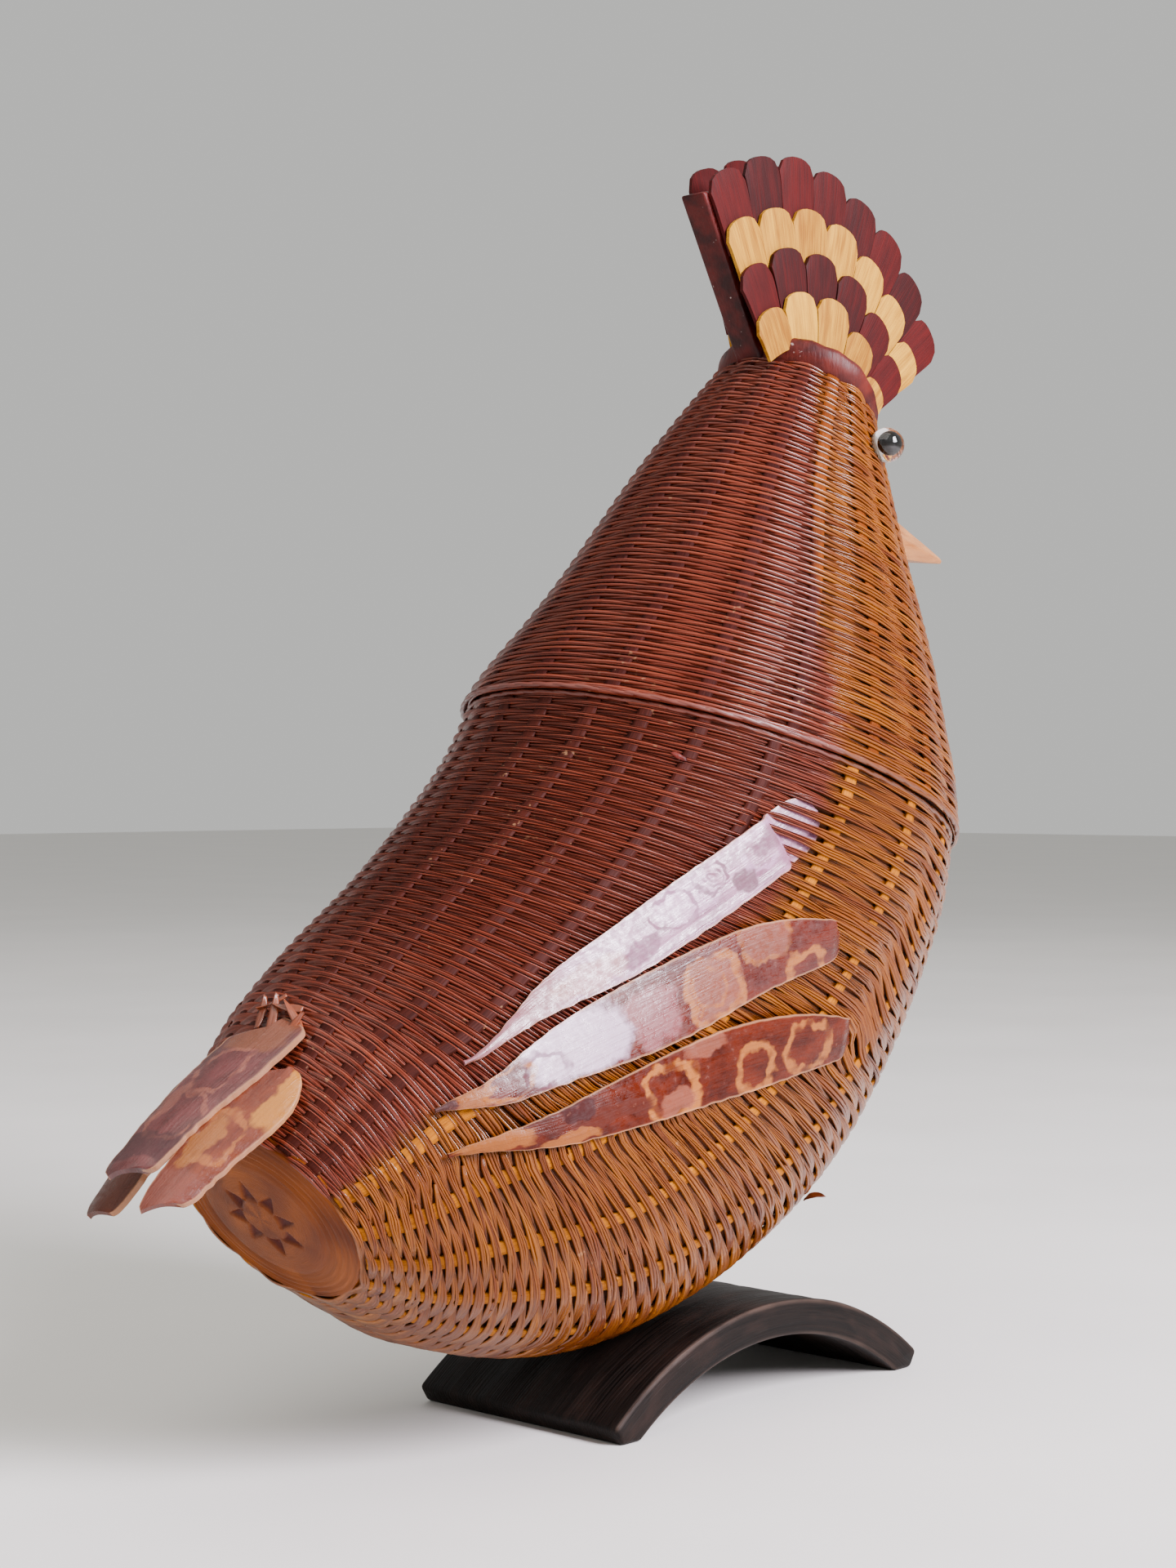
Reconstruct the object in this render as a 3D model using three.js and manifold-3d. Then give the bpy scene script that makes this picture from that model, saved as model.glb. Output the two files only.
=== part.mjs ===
// A lidded bird box woven from rattan: a pheasant with a bamboo crest, wings and tail on a bamboo arch.
// Millimetres, +X where the beak points, +Y the bird's left, +Z up.
// Heights are measured from the table. The whole bird is centred over the origin at the end.
import * as THREE from 'three';
import { mergeVertices } from 'three/addons/utils/BufferGeometryUtils.js';
import Module from 'manifold-3d';

const wasm = await Module();
wasm.setup();

// Fits
const GLUE_GAP = 0.35;        // between pieces that are glued or rest on each other
const LID_CLEARANCE = 0.5;    // between the collar and the inside of the lid
const SOCKET_CLEARANCE = 0.3; // around what is let into the head

// The woven form, as sections across a bent spine.
// x and z are the section's centre and lean is how far its face points above +X, in degrees.
// deep is half its size from back to belly, wide is half its size from side to side.
const SECTIONS = [
  { name: 'rump', x: -79, z: 38, lean: 35, deep: 16.5, wide: 17.5 },
  { name: 'tail root', x: -65.3, z: 40.1, lean: 28, deep: 28.2, wide: 26 },
  { name: 'hip', x: -43.6, z: 41.7, lean: 44, deep: 40.9, wide: 33.5 },
  { name: 'belly', x: -13.6, z: 57.3, lean: 62, deep: 51.8, wide: 34 },
  { name: 'breast', x: 9.5, z: 84, lean: 70.5, deep: 49, wide: 36.5 },
  { name: 'shoulder', x: 17.5, z: 103, lean: 72.5, deep: 44, wide: 36 },
  { name: 'neck', x: 24.9, z: 121, lean: 70.5, deep: 35.6, wide: 30 },
  { name: 'cheek', x: 30, z: 141.5, lean: 69, deep: 25, wide: 22.5 },
  { name: 'crown', x: 37, z: 161.5, lean: 61, deep: 14, wide: 15 },
];
const CROWN = SECTIONS.length - 1;    // places along the spine are counted in sections
const SEAM = 4.69;  // where the lid parts from the body
const AROUND = 32;  // sides of a section
const NEXT_RING = 0.2;        // from a rim's ring to the next ring of the wall
const NEXT_IN_COLLAR = 0.15;  // the same inside the body, below the collar
const NEXT_IN_LID = 0.25;     // the same on the lid, below its crown

// Body and lid
const BODY_WALL = 2.4;
const RUMP_DISC_THICKNESS = 2.6;
const COLLAR_HEIGHT = 7;
const COLLAR_WALL = 1.4;
const COLLAR_FOOT = 6;        // how far the collar reaches down inside the body
const LID_WALL = 2.8;
const LID_OVERHANG = 1.2;     // how far the lid's rim stands proud of the body
const LID_FADE = 14;          // height over which that overhang dies away
const HEAD_PLUG = 17;         // solid part under the crown
const CAP_RISE = 2.8;         // dome of gathered ribs on the crown
const CAP_RINGS = [0, 0.35, 0.7];    // the dome's rings, from its edge inward
const HEAD_FORM_FOOT = 5.5;   // how far down the form reaches that trims the scales

// Crest
const CREST_PIVOT = new THREE.Vector3(34.5, 0, 150.4);
const CREST_FROM = -31;       // degrees from upright, forward is positive
const CREST_TO = 60;
const CREST_CORE = 5;         // thickness of the wedge that carries the scales
const CREST_CORE_RADIUS = 37;
const CREST_BASE = 15.5;      // from the pivot to the wedge's foot
const CREST_CORE_INSET = 2;   // degrees by which the wedge stops short of the scales at the rear
const CREST_FOOT_TILT = 13;   // the direction the wedge's foot faces, in degrees from upright
const CREST_TIP_RISE = 10.2;  // the scale tips lie on circles centred this far above the pivot
const SCALE_THICKNESS = 0.7;
const SCALE_ROUNDING = 3;     // depth of a scale's round tip
const SCALE_LAP = 5;          // how far a row runs under the next one
const SCALE_ROOT = 1;         // how far the lowest row reaches below the wedge's foot
const SCALE_ROWS = [
  { radius: 42, count: 8, colour: 0x6b1616 },
  { radius: 33.3, count: 7, colour: 0xd8b368 },
  { radius: 26.2, count: 6, colour: 0x6b1616 },
  { radius: 19, count: 5, colour: 0xd8b368 },
];

// Face
const EYE_RADIUS = 2.9;
const EYE_PLACE = { at: 7.65, turn: 103, proud: 1.4 };
const BEAK = {
  root: 48.6,
  tip: 79.4,
  floor: 136.5,
  tipFloor: 137,
  height: 13.2,
  tipHeight: 1.1,
  halfWidth: 5.2,
  tipHalfWidth: 0.5,
  ridgeFall: 1.25,    // powers that bend the ridge, the underside and the sides
  floorRise: 3,
  sideTaper: 0.8,
  edgeHeight: 0.42,   // the side edges' height and the underside's width, as shares
  floorWidth: 0.55,
};

// Bamboo strips on the wings; at is the place along the spine, turn the angle from the back in degrees
const STRIP_THICKNESS = 1;
const STRIP_END = 0.6;        // width left at a strip's ends
const WING_STRIPS = [
  {
    name: 'upper',
    width: 7.9,
    path: [[1.75, 49.8], [2.3, 49.8], [2.75, 51.6], [3.3, 57.6], [3.75, 65], [4.22, 73.5]],
    point: 0.7,
    taper: 1.8,
    blunt: 0.08,
  },
  {
    name: 'middle',
    width: 10.4,
    path: [[1.15, 60.4], [2.1, 59.2], [2.8, 65.9], [3.35, 76.5], [3.64, 92.5]],
    point: 0.62,
    taper: 1.2,
    blunt: 0.3,
  },
  {
    name: 'lower',
    width: 9.8,
    path: [[1.02, 73.5], [1.9, 72.2], [2.63, 80.4], [3.08, 92.8], [3.32, 110]],
    point: 0.74,
    taper: 1.3,
    blunt: 0.18,
  },
];

// Tail
const TAIL_THICKNESS = 1.2;
const TAIL_ROOT_WIDTH = 0.7;       // a strip's width at its root and how soon it is full, as shares
const TAIL_ROOT_LENGTH = 1 / 3;
const TAIL_STRIPS = [
  {
    name: 'tail_centre',
    y: -2.4,
    splay: 2.4,
    roll: 4,
    width: 9.2,
    path: [[-80.4, 62.6], [-87.2, 57.6], [-94.8, 52.4], [-102.4, 45.2]],
  },
  {
    name: 'tail_right',
    y: -9.8,
    splay: 0.4,
    roll: 24,
    width: 8.6,
    path: [[-82, 59], [-88.6, 53.8], [-95.8, 48.6], [-103.4, 43]],
  },
  {
    name: 'tail_left',
    y: 8.8,
    splay: 0.4,
    roll: -34,
    width: 8.6,
    path: [[-81.4, 59.8], [-87.4, 54], [-93.6, 47.2], [-100.8, 40.6]],
  },
];

// Stand: a piece of bamboo wall that arches from back to front
const STAND = {
  centreX: 7.4,
  centreY: 0.8,
  width: 42,
  crown: 15.8,
  outerRadius: 59,
  thickness: 5.5,
  toe: 2.6,         // height of the worn toe where the outside meets the foot
  toeCut: 1.6,       // how far in from the toe the level foot begins
  arcSteps: 16,
};

const rad = THREE.MathUtils.degToRad;
const lerp = THREE.MathUtils.lerp;
const colours = {
  weave: 0x7a3a1e,
  lid: 0x6e2f1c,
  bamboo: 0x7d3b2b,
  tail: 0x84493a,
  core: 0x4a0f12,
  wood: 0xb8783e,
  eye: 0x1a1a1a,
  stand: 0x161415,
};

const spine = new THREE.CatmullRomCurve3(
  SECTIONS.map((s) => new THREE.Vector3(s.x, s.lean, s.z)), false, 'catmullrom', 0.5);
const girth = new THREE.CatmullRomCurve3(
  SECTIONS.map((s) => new THREE.Vector3(s.deep, s.wide, 0)), false, 'catmullrom', 0.5);

// A point of the woven form. turn runs from the back (0) over the bird's left (90) to the belly (180).
function onForm(at, turnDegrees, offset = 0, lift = 0) {
  const share = THREE.MathUtils.clamp(at / CROWN, 0, 1);
  const centre = spine.getPoint(share);
  const half = girth.getPoint(share);
  const lean = rad(centre.y);
  const up = (half.x + offset) * Math.cos(rad(turnDegrees));
  const side = (half.y + offset) * Math.sin(rad(turnDegrees));
  return new THREE.Vector3(
    centre.x - Math.sin(lean) * up + Math.cos(lean) * lift,
    side,
    centre.z + Math.cos(lean) * up + Math.sin(lean) * lift);
}

function formNormal(at, turnDegrees) {
  const step = 0.02;
  const along = onForm(at + step, turnDegrees).sub(onForm(at - step, turnDegrees));
  const round = onForm(at, turnDegrees + 1).sub(onForm(at, turnDegrees - 1));
  return along.cross(round).normalize();
}

// How many sections of spine one millimetre is, near a place
function perMillimetre(at) {
  const step = 0.05;
  const a = spine.getPoint((at - step) / CROWN);
  const b = spine.getPoint((at + step) / CROWN);
  return (2 * step) / Math.hypot(b.x - a.x, b.z - a.z);
}

function formRing(at, offset, lift = 0) {
  return Array.from({ length: AROUND }, (_, i) => onForm(at, (360 * i) / AROUND, offset, lift));
}

// A closed solid through rings of equal count, flat at both ends
function loft(rings) {
  const sides = rings[0].length;
  const points = rings.flat();
  const middle = (ring) => ring.reduce((sum, p) => sum.add(p), new THREE.Vector3()).divideScalar(sides);
  const first = points.push(middle(rings[0])) - 1;
  const last = points.push(middle(rings[rings.length - 1])) - 1;
  const index = [];
  for (let i = 0; i < sides; i += 1) {
    const j = (i + 1) % sides;
    index.push(first, j, i);
    const top = (rings.length - 1) * sides;
    index.push(last, top + i, top + j);
    for (let r = 0; r < rings.length - 1; r += 1) {
      const a = r * sides;
      const b = a + sides;
      index.push(a + i, a + j, b + j, a + i, b + j, b + i);
    }
  }
  return facingOut(points, index);
}

function facingOut(points, index) {
  let volume = 0;
  for (let i = 0; i < index.length; i += 3) {
    const [a, b, c] = [points[index[i]], points[index[i + 1]], points[index[i + 2]]];
    volume += a.dot(b.clone().cross(c));
  }
  if (volume < 0) index.reverse();
  const geometry = new THREE.BufferGeometry();
  const values = points.flatMap((p) => p.toArray());
  geometry.setAttribute('position', new THREE.Float32BufferAttribute(values, 3));
  geometry.setIndex(index);
  return geometry;
}

function toManifold(geometry) {
  const bare = geometry.clone();
  bare.deleteAttribute('normal');
  bare.deleteAttribute('uv');
  const merged = mergeVertices(bare, 1e-4);
  return new wasm.Manifold(new wasm.Mesh({
    numProp: 3,
    vertProperties: new Float32Array(merged.attributes.position.array),
    triVerts: new Uint32Array(merged.index.array),
  }));
}

function toGeometry(solid) {
  const mesh = solid.getMesh();
  const geometry = new THREE.BufferGeometry();
  geometry.setAttribute('position', new THREE.BufferAttribute(new Float32Array(mesh.vertProperties), 3));
  geometry.setIndex(new THREE.BufferAttribute(new Uint32Array(mesh.triVerts), 1));
  return geometry;
}

function cut(geometry, ...cutters) {
  return toGeometry(cutters.reduce((solid, cutter) => solid.subtract(toManifold(cutter)), toManifold(geometry)));
}

function steps(from, to, count) {
  return Array.from({ length: count + 1 }, (_, i) => lerp(from, to, i / count));
}

const bird = new THREE.Group();

function add(name, geometry, colour, roughness) {
  const material = new THREE.MeshStandardMaterial({ color: colour, roughness, metalness: 0 });
  const mesh = new THREE.Mesh(geometry, material);
  mesh.name = name;
  bird.add(mesh);
  return mesh;
}

// The body: one wall from the rump disc up to the seam, over the collar and back down inside
function bodySolid() {
  const lidInside = LID_WALL - LID_OVERHANG;
  const collarOutside = -(lidInside + LID_CLEARANCE);
  const collarTop = SEAM + COLLAR_HEIGHT * perMillimetre(SEAM);
  const collarFoot = SEAM - COLLAR_FOOT * perMillimetre(SEAM);
  const floor = RUMP_DISC_THICKNESS * perMillimetre(0.1);
  return loft([
    ...steps(0, SEAM, 19).map((at) => formRing(at, 0)),
    formRing(SEAM, collarOutside),
    formRing(collarTop, collarOutside),
    formRing(collarTop, collarOutside - COLLAR_WALL),
    formRing(collarFoot, collarOutside - COLLAR_WALL),
    ...steps(collarFoot - NEXT_IN_COLLAR, floor, 13).map((at) => formRing(at, -BODY_WALL)),
  ]);
}

const lidRim = SEAM + GLUE_GAP * perMillimetre(SEAM);

function lidOffset(at) {
  const fade = LID_FADE * perMillimetre(SEAM);
  return LID_OVERHANG * Math.max(0, 1 - (at - lidRim) / fade);
}

function capRings(grow) {
  const half = SECTIONS[CROWN].deep;
  const top = CAP_RINGS[CAP_RINGS.length - 1];
  return CAP_RINGS.map((share) => formRing(
    CROWN, grow - half * share, grow + CAP_RISE * Math.sqrt(share / top)));
}

// The outside of the lid down to the seam, used whole as a cutter for what stands on the head
function headForm(grow) {
  return loft([
    ...capRings(grow).reverse(),
    ...steps(CROWN - NEXT_RING, HEAD_FORM_FOOT, 8).map((at) => formRing(at, grow + lidOffset(at))),
  ]);
}

function lidShell() {
  const plug = CROWN - HEAD_PLUG * perMillimetre(CROWN - 0.5);
  return loft([
    ...capRings(0).reverse(),
    ...steps(CROWN - NEXT_IN_LID, lidRim, 14).map((at) => formRing(at, lidOffset(at))),
    formRing(lidRim, LID_OVERHANG - LID_WALL),
    ...steps(lidRim + 2 * NEXT_RING, plug, 9).map((at) => formRing(at, lidOffset(lidRim) - LID_WALL)),
  ]);
}

// A point of the crest's plane, by its distance from the pivot and its angle from upright
function crestPoint(radius, degrees) {
  return new THREE.Vector2(
    CREST_PIVOT.x + radius * Math.sin(rad(degrees)),
    CREST_PIVOT.z + radius * Math.cos(rad(degrees)));
}

// From the pivot to the circle of the given radius that is centred above it
function tipDistance(radius, degrees) {
  const along = CREST_TIP_RISE * Math.cos(rad(degrees));
  return along + Math.sqrt(radius ** 2 - CREST_TIP_RISE ** 2 + along ** 2);
}

// A flat piece in the crest's plane, between two distances on one side of the bird's middle
function crestPlate(outline, near, thickness) {
  const geometry = new THREE.ExtrudeGeometry(new THREE.Shape(outline), {
    depth: thickness,
    bevelEnabled: false,
    steps: 1,
  });
  geometry.rotateX(Math.PI / 2);
  geometry.translate(0, near + thickness, 0);
  return geometry;
}

function crestCore(grow) {
  const edge = THREE.MathUtils.radToDeg(grow / CREST_CORE_RADIUS);
  const rear = CREST_FROM + CREST_CORE_INSET - edge;
  const front = CREST_TO + edge;
  const arc = steps(rear, front, 10);
  const outline = arc.map((a) => crestPoint(tipDistance(CREST_CORE_RADIUS, a) + grow, a));
  const foot = (degrees) => (CREST_BASE - grow) / Math.cos(rad(degrees - CREST_FOOT_TILT));
  outline.push(crestPoint(foot(front), front));
  outline.push(crestPoint(foot(rear), rear));
  return crestPlate(outline, -CREST_CORE / 2 - grow, CREST_CORE + 2 * grow);
}

// One row of scales: a band with round tips, which starts under the next row down
function scaleRow(rowNumber, side) {
  const row = SCALE_ROWS[rowNumber];
  const next = SCALE_ROWS[rowNumber + 1];
  const half = (CREST_TO - CREST_FROM) / row.count / 2;
  const outline = [];
  for (let i = 0; i < row.count; i += 1) {
    const centre = CREST_FROM + half * (2 * i + 1);
    const tip = tipDistance(row.radius, centre);
    for (const share of [-1, -0.85, -0.5, 0, 0.5, 0.85]) {
      const drop = SCALE_ROUNDING * (1 - Math.sqrt(1 - share ** 2));
      outline.push(crestPoint(tip - drop, centre + half * share));
    }
  }
  const end = tipDistance(row.radius, CREST_TO - half) - SCALE_ROUNDING;
  outline.push(crestPoint(end, CREST_TO));
  for (const angle of steps(CREST_TO, CREST_FROM, 8)) {
    const start = next ? tipDistance(next.radius, angle) - SCALE_LAP : CREST_BASE - SCALE_ROOT;
    outline.push(crestPoint(start, angle));
  }
  const near = CREST_CORE / 2 + GLUE_GAP + rowNumber * (SCALE_THICKNESS + GLUE_GAP);
  return crestPlate(outline, side > 0 ? near : -near - SCALE_THICKNESS, SCALE_THICKNESS);
}

function eyeBall(side, grow = 0) {
  const turn = side * EYE_PLACE.turn;
  const centre = onForm(EYE_PLACE.at, turn).addScaledVector(formNormal(EYE_PLACE.at, turn), EYE_PLACE.proud);
  const ball = new THREE.SphereGeometry(EYE_RADIUS + grow, 14, 10);
  ball.translate(centre.x, centre.y, centre.z);
  return ball;
}

// The beak: five-sided sections from its root in the head to the tip
function beakSolid(grow) {
  const section = (share) => {
    const x = lerp(BEAK.root - grow, BEAK.tip, share);
    const height = BEAK.height * (1 - share ** BEAK.ridgeFall) + BEAK.tipHeight * share;
    const floor = lerp(BEAK.floor, BEAK.tipFloor, share ** BEAK.floorRise) - grow;
    const half = BEAK.halfWidth * (1 - share) ** BEAK.sideTaper + BEAK.tipHalfWidth * share + grow;
    const edge = floor + (height + grow) * BEAK.edgeHeight;
    return [
      new THREE.Vector3(x, 0, floor + height + 2 * grow),
      new THREE.Vector3(x, half, edge),
      new THREE.Vector3(x, half * BEAK.floorWidth, floor),
      new THREE.Vector3(x, -half * BEAK.floorWidth, floor),
      new THREE.Vector3(x, -half, edge),
    ];
  };
  return loft([0, 0.2, 0.4, 0.6, 0.8, 0.93, 1].map(section));
}

// A strip's width along its length: a long point at the rear, blunter at the front
function leafShare(u, strip) {
  const rear = Math.min(1, u / strip.point);
  const front = Math.min(1, (1 - u) / strip.blunt);
  return Math.sin((rear * Math.PI) / 2) ** strip.taper * Math.sqrt(1 - (1 - front) ** 2);
}

// A thin strip bent along the form: flat across, following the surface lengthwise
function wingStrip(strip, side) {
  const track = new THREE.CatmullRomCurve3(
    strip.path.map(([at, turn]) => new THREE.Vector3(at, turn * side, 0)), false, 'catmullrom', 0.5);
  const place = (u) => {
    const spot = track.getPoint(THREE.MathUtils.clamp(u, 0, 1));
    return { point: onForm(spot.x, spot.y), normal: formNormal(spot.x, spot.y) };
  };
  const rings = steps(0, 1, 16).map((u) => {
    const { point, normal } = place(u);
    const ahead = place(u + 0.03).point.sub(place(u - 0.03).point);
    const across = normal.clone().cross(ahead).normalize();
    const half = (strip.width * leafShare(u, strip)) / 2 + STRIP_END / 2;
    const corner = (s, height) => point.clone()
      .addScaledVector(across, s * half).addScaledVector(normal, height);
    const under = GLUE_GAP;
    const over = GLUE_GAP + STRIP_THICKNESS;
    return [corner(-1, under), corner(1, under), corner(1, over), corner(-1, over)];
  });
  return loft(rings);
}

// A tail strip: flat across, bent along its length, square at both ends
function tailStrip(strip) {
  const track = new THREE.CatmullRomCurve3(
    strip.path.map(([x, z]) => new THREE.Vector3(x, 0, z)), false, 'catmullrom', 0.5);
  const rings = steps(0, 1, 8).map((u) => {
    const point = track.getPoint(u);
    const along = track.getTangent(u);
    const normal = new THREE.Vector3(along.z, 0, -along.x);
    const middle = strip.y + strip.splay * u;
    const half = (strip.width / 2) * lerp(TAIL_ROOT_WIDTH, 1, Math.min(1, u / TAIL_ROOT_LENGTH));
    const across = new THREE.Vector3(0, 1, 0).applyAxisAngle(along, rad(-strip.roll));
    const top = normal.clone().applyAxisAngle(along, rad(-strip.roll));
    const corner = (s, height) => new THREE.Vector3(0, middle, 0)
      .add(point).addScaledVector(across, s * half).addScaledVector(top, height);
    return [corner(-1, 0), corner(1, 0), corner(1, TAIL_THICKNESS), corner(-1, TAIL_THICKNESS)];
  });
  return loft(rings);
}

// The stand's outline from the side: an arch with both feet cut level
function standSolid() {
  const drop = STAND.outerRadius - STAND.crown;
  const inner = STAND.outerRadius - STAND.thickness;
  const outerEnd = Math.acos((drop + STAND.toe) / STAND.outerRadius);
  const footEnd = STAND.outerRadius * Math.sin(outerEnd) - STAND.toeCut;
  const innerEnd = Math.acos(drop / inner);
  const onArc = (radius, angle) => new THREE.Vector2(
    STAND.centreX + radius * Math.sin(angle), radius * Math.cos(angle) - drop);
  const outline = [
    ...steps(-outerEnd, outerEnd, STAND.arcSteps).map((a) => onArc(STAND.outerRadius, a)),
    new THREE.Vector2(STAND.centreX + footEnd, 0),
    ...steps(innerEnd, -innerEnd, STAND.arcSteps).map((a) => onArc(inner, a)),
    new THREE.Vector2(STAND.centreX - footEnd, 0),
  ];
  return crestPlate(outline, STAND.centreY - STAND.width / 2, STAND.width);
}

add('stand', standSolid(), colours.stand, 0.75);
add('basket_body', bodySolid(), colours.weave, 0.5);
add('head_lid', cut(
  lidShell(),
  crestCore(SOCKET_CLEARANCE),
  beakSolid(SOCKET_CLEARANCE),
  eyeBall(1, SOCKET_CLEARANCE),
  eyeBall(-1, SOCKET_CLEARANCE)), colours.lid, 0.45);
add('crest_core', crestCore(0), colours.core, 0.35);
for (const [sideName, side] of [['left', 1], ['right', -1]]) {
  SCALE_ROWS.forEach((row, i) => {
    const scales = cut(scaleRow(i, side), headForm(GLUE_GAP));
    add(`crest_scales_${i + 1}_${sideName}`, scales, row.colour, 0.4);
  });
  for (const strip of WING_STRIPS) {
    add(`wing_${strip.name}_${sideName}`, wingStrip(strip, side), colours.bamboo, 0.25);
  }
  add(`eye_${sideName}`, eyeBall(side), colours.eye, 0.05);
}
add('beak', beakSolid(0), colours.wood, 0.45);
for (const strip of TAIL_STRIPS) add(strip.name, tailStrip(strip), colours.tail, 0.25);

// Centre the bird's box over the origin
bird.updateMatrixWorld(true);
const box = new THREE.Box3().setFromObject(bird);
bird.position.set(-(box.min.x + box.max.x) / 2, -(box.min.y + box.max.y) / 2, -box.min.z);

export default bird;
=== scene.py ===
import math
import random

import bmesh
import bpy
from mathutils import Matrix, Vector, noise


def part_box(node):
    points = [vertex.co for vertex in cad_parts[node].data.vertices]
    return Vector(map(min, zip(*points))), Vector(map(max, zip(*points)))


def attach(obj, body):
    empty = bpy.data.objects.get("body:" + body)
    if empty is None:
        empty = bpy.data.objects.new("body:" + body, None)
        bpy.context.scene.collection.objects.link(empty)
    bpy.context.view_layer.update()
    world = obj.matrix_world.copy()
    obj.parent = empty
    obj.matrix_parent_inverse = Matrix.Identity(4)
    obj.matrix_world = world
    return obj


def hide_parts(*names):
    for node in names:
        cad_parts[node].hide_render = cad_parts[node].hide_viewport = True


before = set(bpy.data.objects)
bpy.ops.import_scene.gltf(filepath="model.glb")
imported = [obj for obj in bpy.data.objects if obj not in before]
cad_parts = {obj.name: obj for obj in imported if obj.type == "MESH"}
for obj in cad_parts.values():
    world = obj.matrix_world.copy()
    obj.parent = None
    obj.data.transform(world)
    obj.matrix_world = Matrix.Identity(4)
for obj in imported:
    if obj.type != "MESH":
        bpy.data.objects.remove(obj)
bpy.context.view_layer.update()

mm = 0.001

# The woven form, in millimetres and degrees: the same sections across a bent spine as the frame's
birdForm = {
    # centre x, centre z, lean, half size from back to belly, half size from side to side
    "sections": (
        (-79, 38, 35, 16.5, 17.5),       # rump
        (-65.3, 40.1, 28, 28.2, 26),     # tail root
        (-43.6, 41.7, 44, 40.9, 33.5),   # hip
        (-13.6, 57.3, 62, 51.8, 34),     # belly
        (9.5, 84, 70.5, 49, 36.5),       # breast
        (17.5, 103, 72.5, 44, 36),       # shoulder
        (24.9, 121, 70.5, 35.6, 30),     # neck
        (30, 141.5, 69, 25, 22.5),       # cheek
        (37, 161.5, 61, 14, 15),         # crown
    ),
    "crown": 8,
    "seam": 4.69,          # where the lid parts from the body, counted in sections
    "seamGap": 0.35,
    "lidOverhang": 1.2,    # how far the lid's rim stands proud
    "lidFade": 14,
    "standMiddle": (7.4, 0.8, 0),    # in these measures, which places the bird in the frame
}

standLow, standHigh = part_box("stand")
shift = (standLow + standHigh) / 2 - Vector(birdForm["standMiddle"]) * mm
flatShift = Vector((shift.x, shift.y, 0))


def blend(a, b, share):
    return a + (b - a) * share


def smooth(value):
    value = min(1.0, max(0.0, value))
    return value * value * (3 - 2 * value)


def beyond(a, b):
    # the step from b to a once more, past a
    return tuple(2 * p - q for p, q in zip(a, b))


def padded(points):
    return (beyond(points[0], points[1]),) + points + (beyond(points[-1], points[-2]),)


def smoothBetween(p0, p1, p2, p3, u):
    # a smooth curve from p1 to p2
    u2 = u * u
    u3 = u2 * u
    a, b, c, d = (2 * u3 - 3 * u2 + 1, u3 - 2 * u2 + u, 3 * u2 - 2 * u3, u3 - u2)
    return [a * q + b * (r - p) / 2 + c * r + d * (s - q) / 2 for p, q, r, s in zip(p0, p1, p2, p3)]


spineRows = padded(birdForm["sections"])


def sectionAt(at):
    # the form's section at a place along the spine
    i = min(max(int(at), 0), birdForm["crown"] - 1)
    return smoothBetween(*spineRows[i:i + 4], at - i)


def onForm(at, turn, offset=0.0, lift=0.0):
    # turn runs from the back (0) over the bird's left to the belly; offset and lift are millimetres
    x, z, lean, deep, wide = sectionAt(at)
    lean = math.radians(lean)
    up = (deep + offset) * math.cos(turn)
    side = (wide + offset) * math.sin(turn)
    return Vector((
        (x - math.sin(lean) * up + math.cos(lean) * lift) * mm + shift.x,
        side * mm + shift.y,
        (z + math.cos(lean) * up + math.sin(lean) * lift) * mm))


def formNormal(at, turn):
    along = onForm(at + 0.02, turn) - onForm(at - 0.02, turn)
    round_ = onForm(at, turn + 0.02) - onForm(at, turn - 0.02)
    return along.cross(round_).normalized()


def perMillimetre(at):
    a = sectionAt(at - 0.05)
    b = sectionAt(at + 0.05)
    return 0.1 / math.hypot(b[0] - a[0], b[1] - a[1])


lidRim = birdForm["seam"] + birdForm["seamGap"] * perMillimetre(birdForm["seam"])


def lidOffset(at):
    fade = birdForm["lidFade"] * perMillimetre(birdForm["seam"])
    return birdForm["lidOverhang"] * max(0.0, 1 - (at - lidRim) / fade)


def evenStations(low, high, turn, count, crowding=1.0):
    # places along the spine that are equally far apart when measured along one side;
    # crowding brings the first ones closer together
    samples = 600
    places = [blend(low, high, i / samples) for i in range(samples + 1)]
    spots = [onForm(at, turn) for at in places]
    lengths = [0.0]
    for a, b in zip(spots, spots[1:]):
        share = smooth(1.8 - 1.1 * places[len(lengths)])
        lengths.append(lengths[-1] + (b - a).length * blend(1.0, crowding, share))
    found = []
    i = 0
    for k in range(count + 1):
        wanted = lengths[-1] * k / count
        while i < samples - 1 and lengths[i + 1] < wanted:
            i += 1
        share = (wanted - lengths[i]) / (lengths[i + 1] - lengths[i])
        found.append(blend(places[i], places[i + 1], share))
    return found


def interpolate(table, place):
    # a value between neighbours of an even list, place counted in entries
    i = min(max(int(place), 0), len(table) - 2)
    return blend(table[i], table[i + 1], place - i)


def makePiece(name, bm, material, slotName, *nodes):
    mesh = bpy.data.meshes.new(name)
    bm.to_mesh(mesh)
    bm.free()
    mesh.shade_smooth()
    mesh.materials.append(material)
    piece = bpy.data.objects.new(name, mesh)
    bpy.context.scene.collection.objects.link(piece)
    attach(piece, "root")
    if nodes:
        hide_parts(*nodes)
    print("made", name, len(mesh.polygons), "faces")
    return piece


def newLayers(bm, *names):
    layers = bm.verts.layers
    vectors = ("strand", "place", "down")
    return [(layers.float_vector if name in vectors else layers.float).new(name) for name in names]


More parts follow.
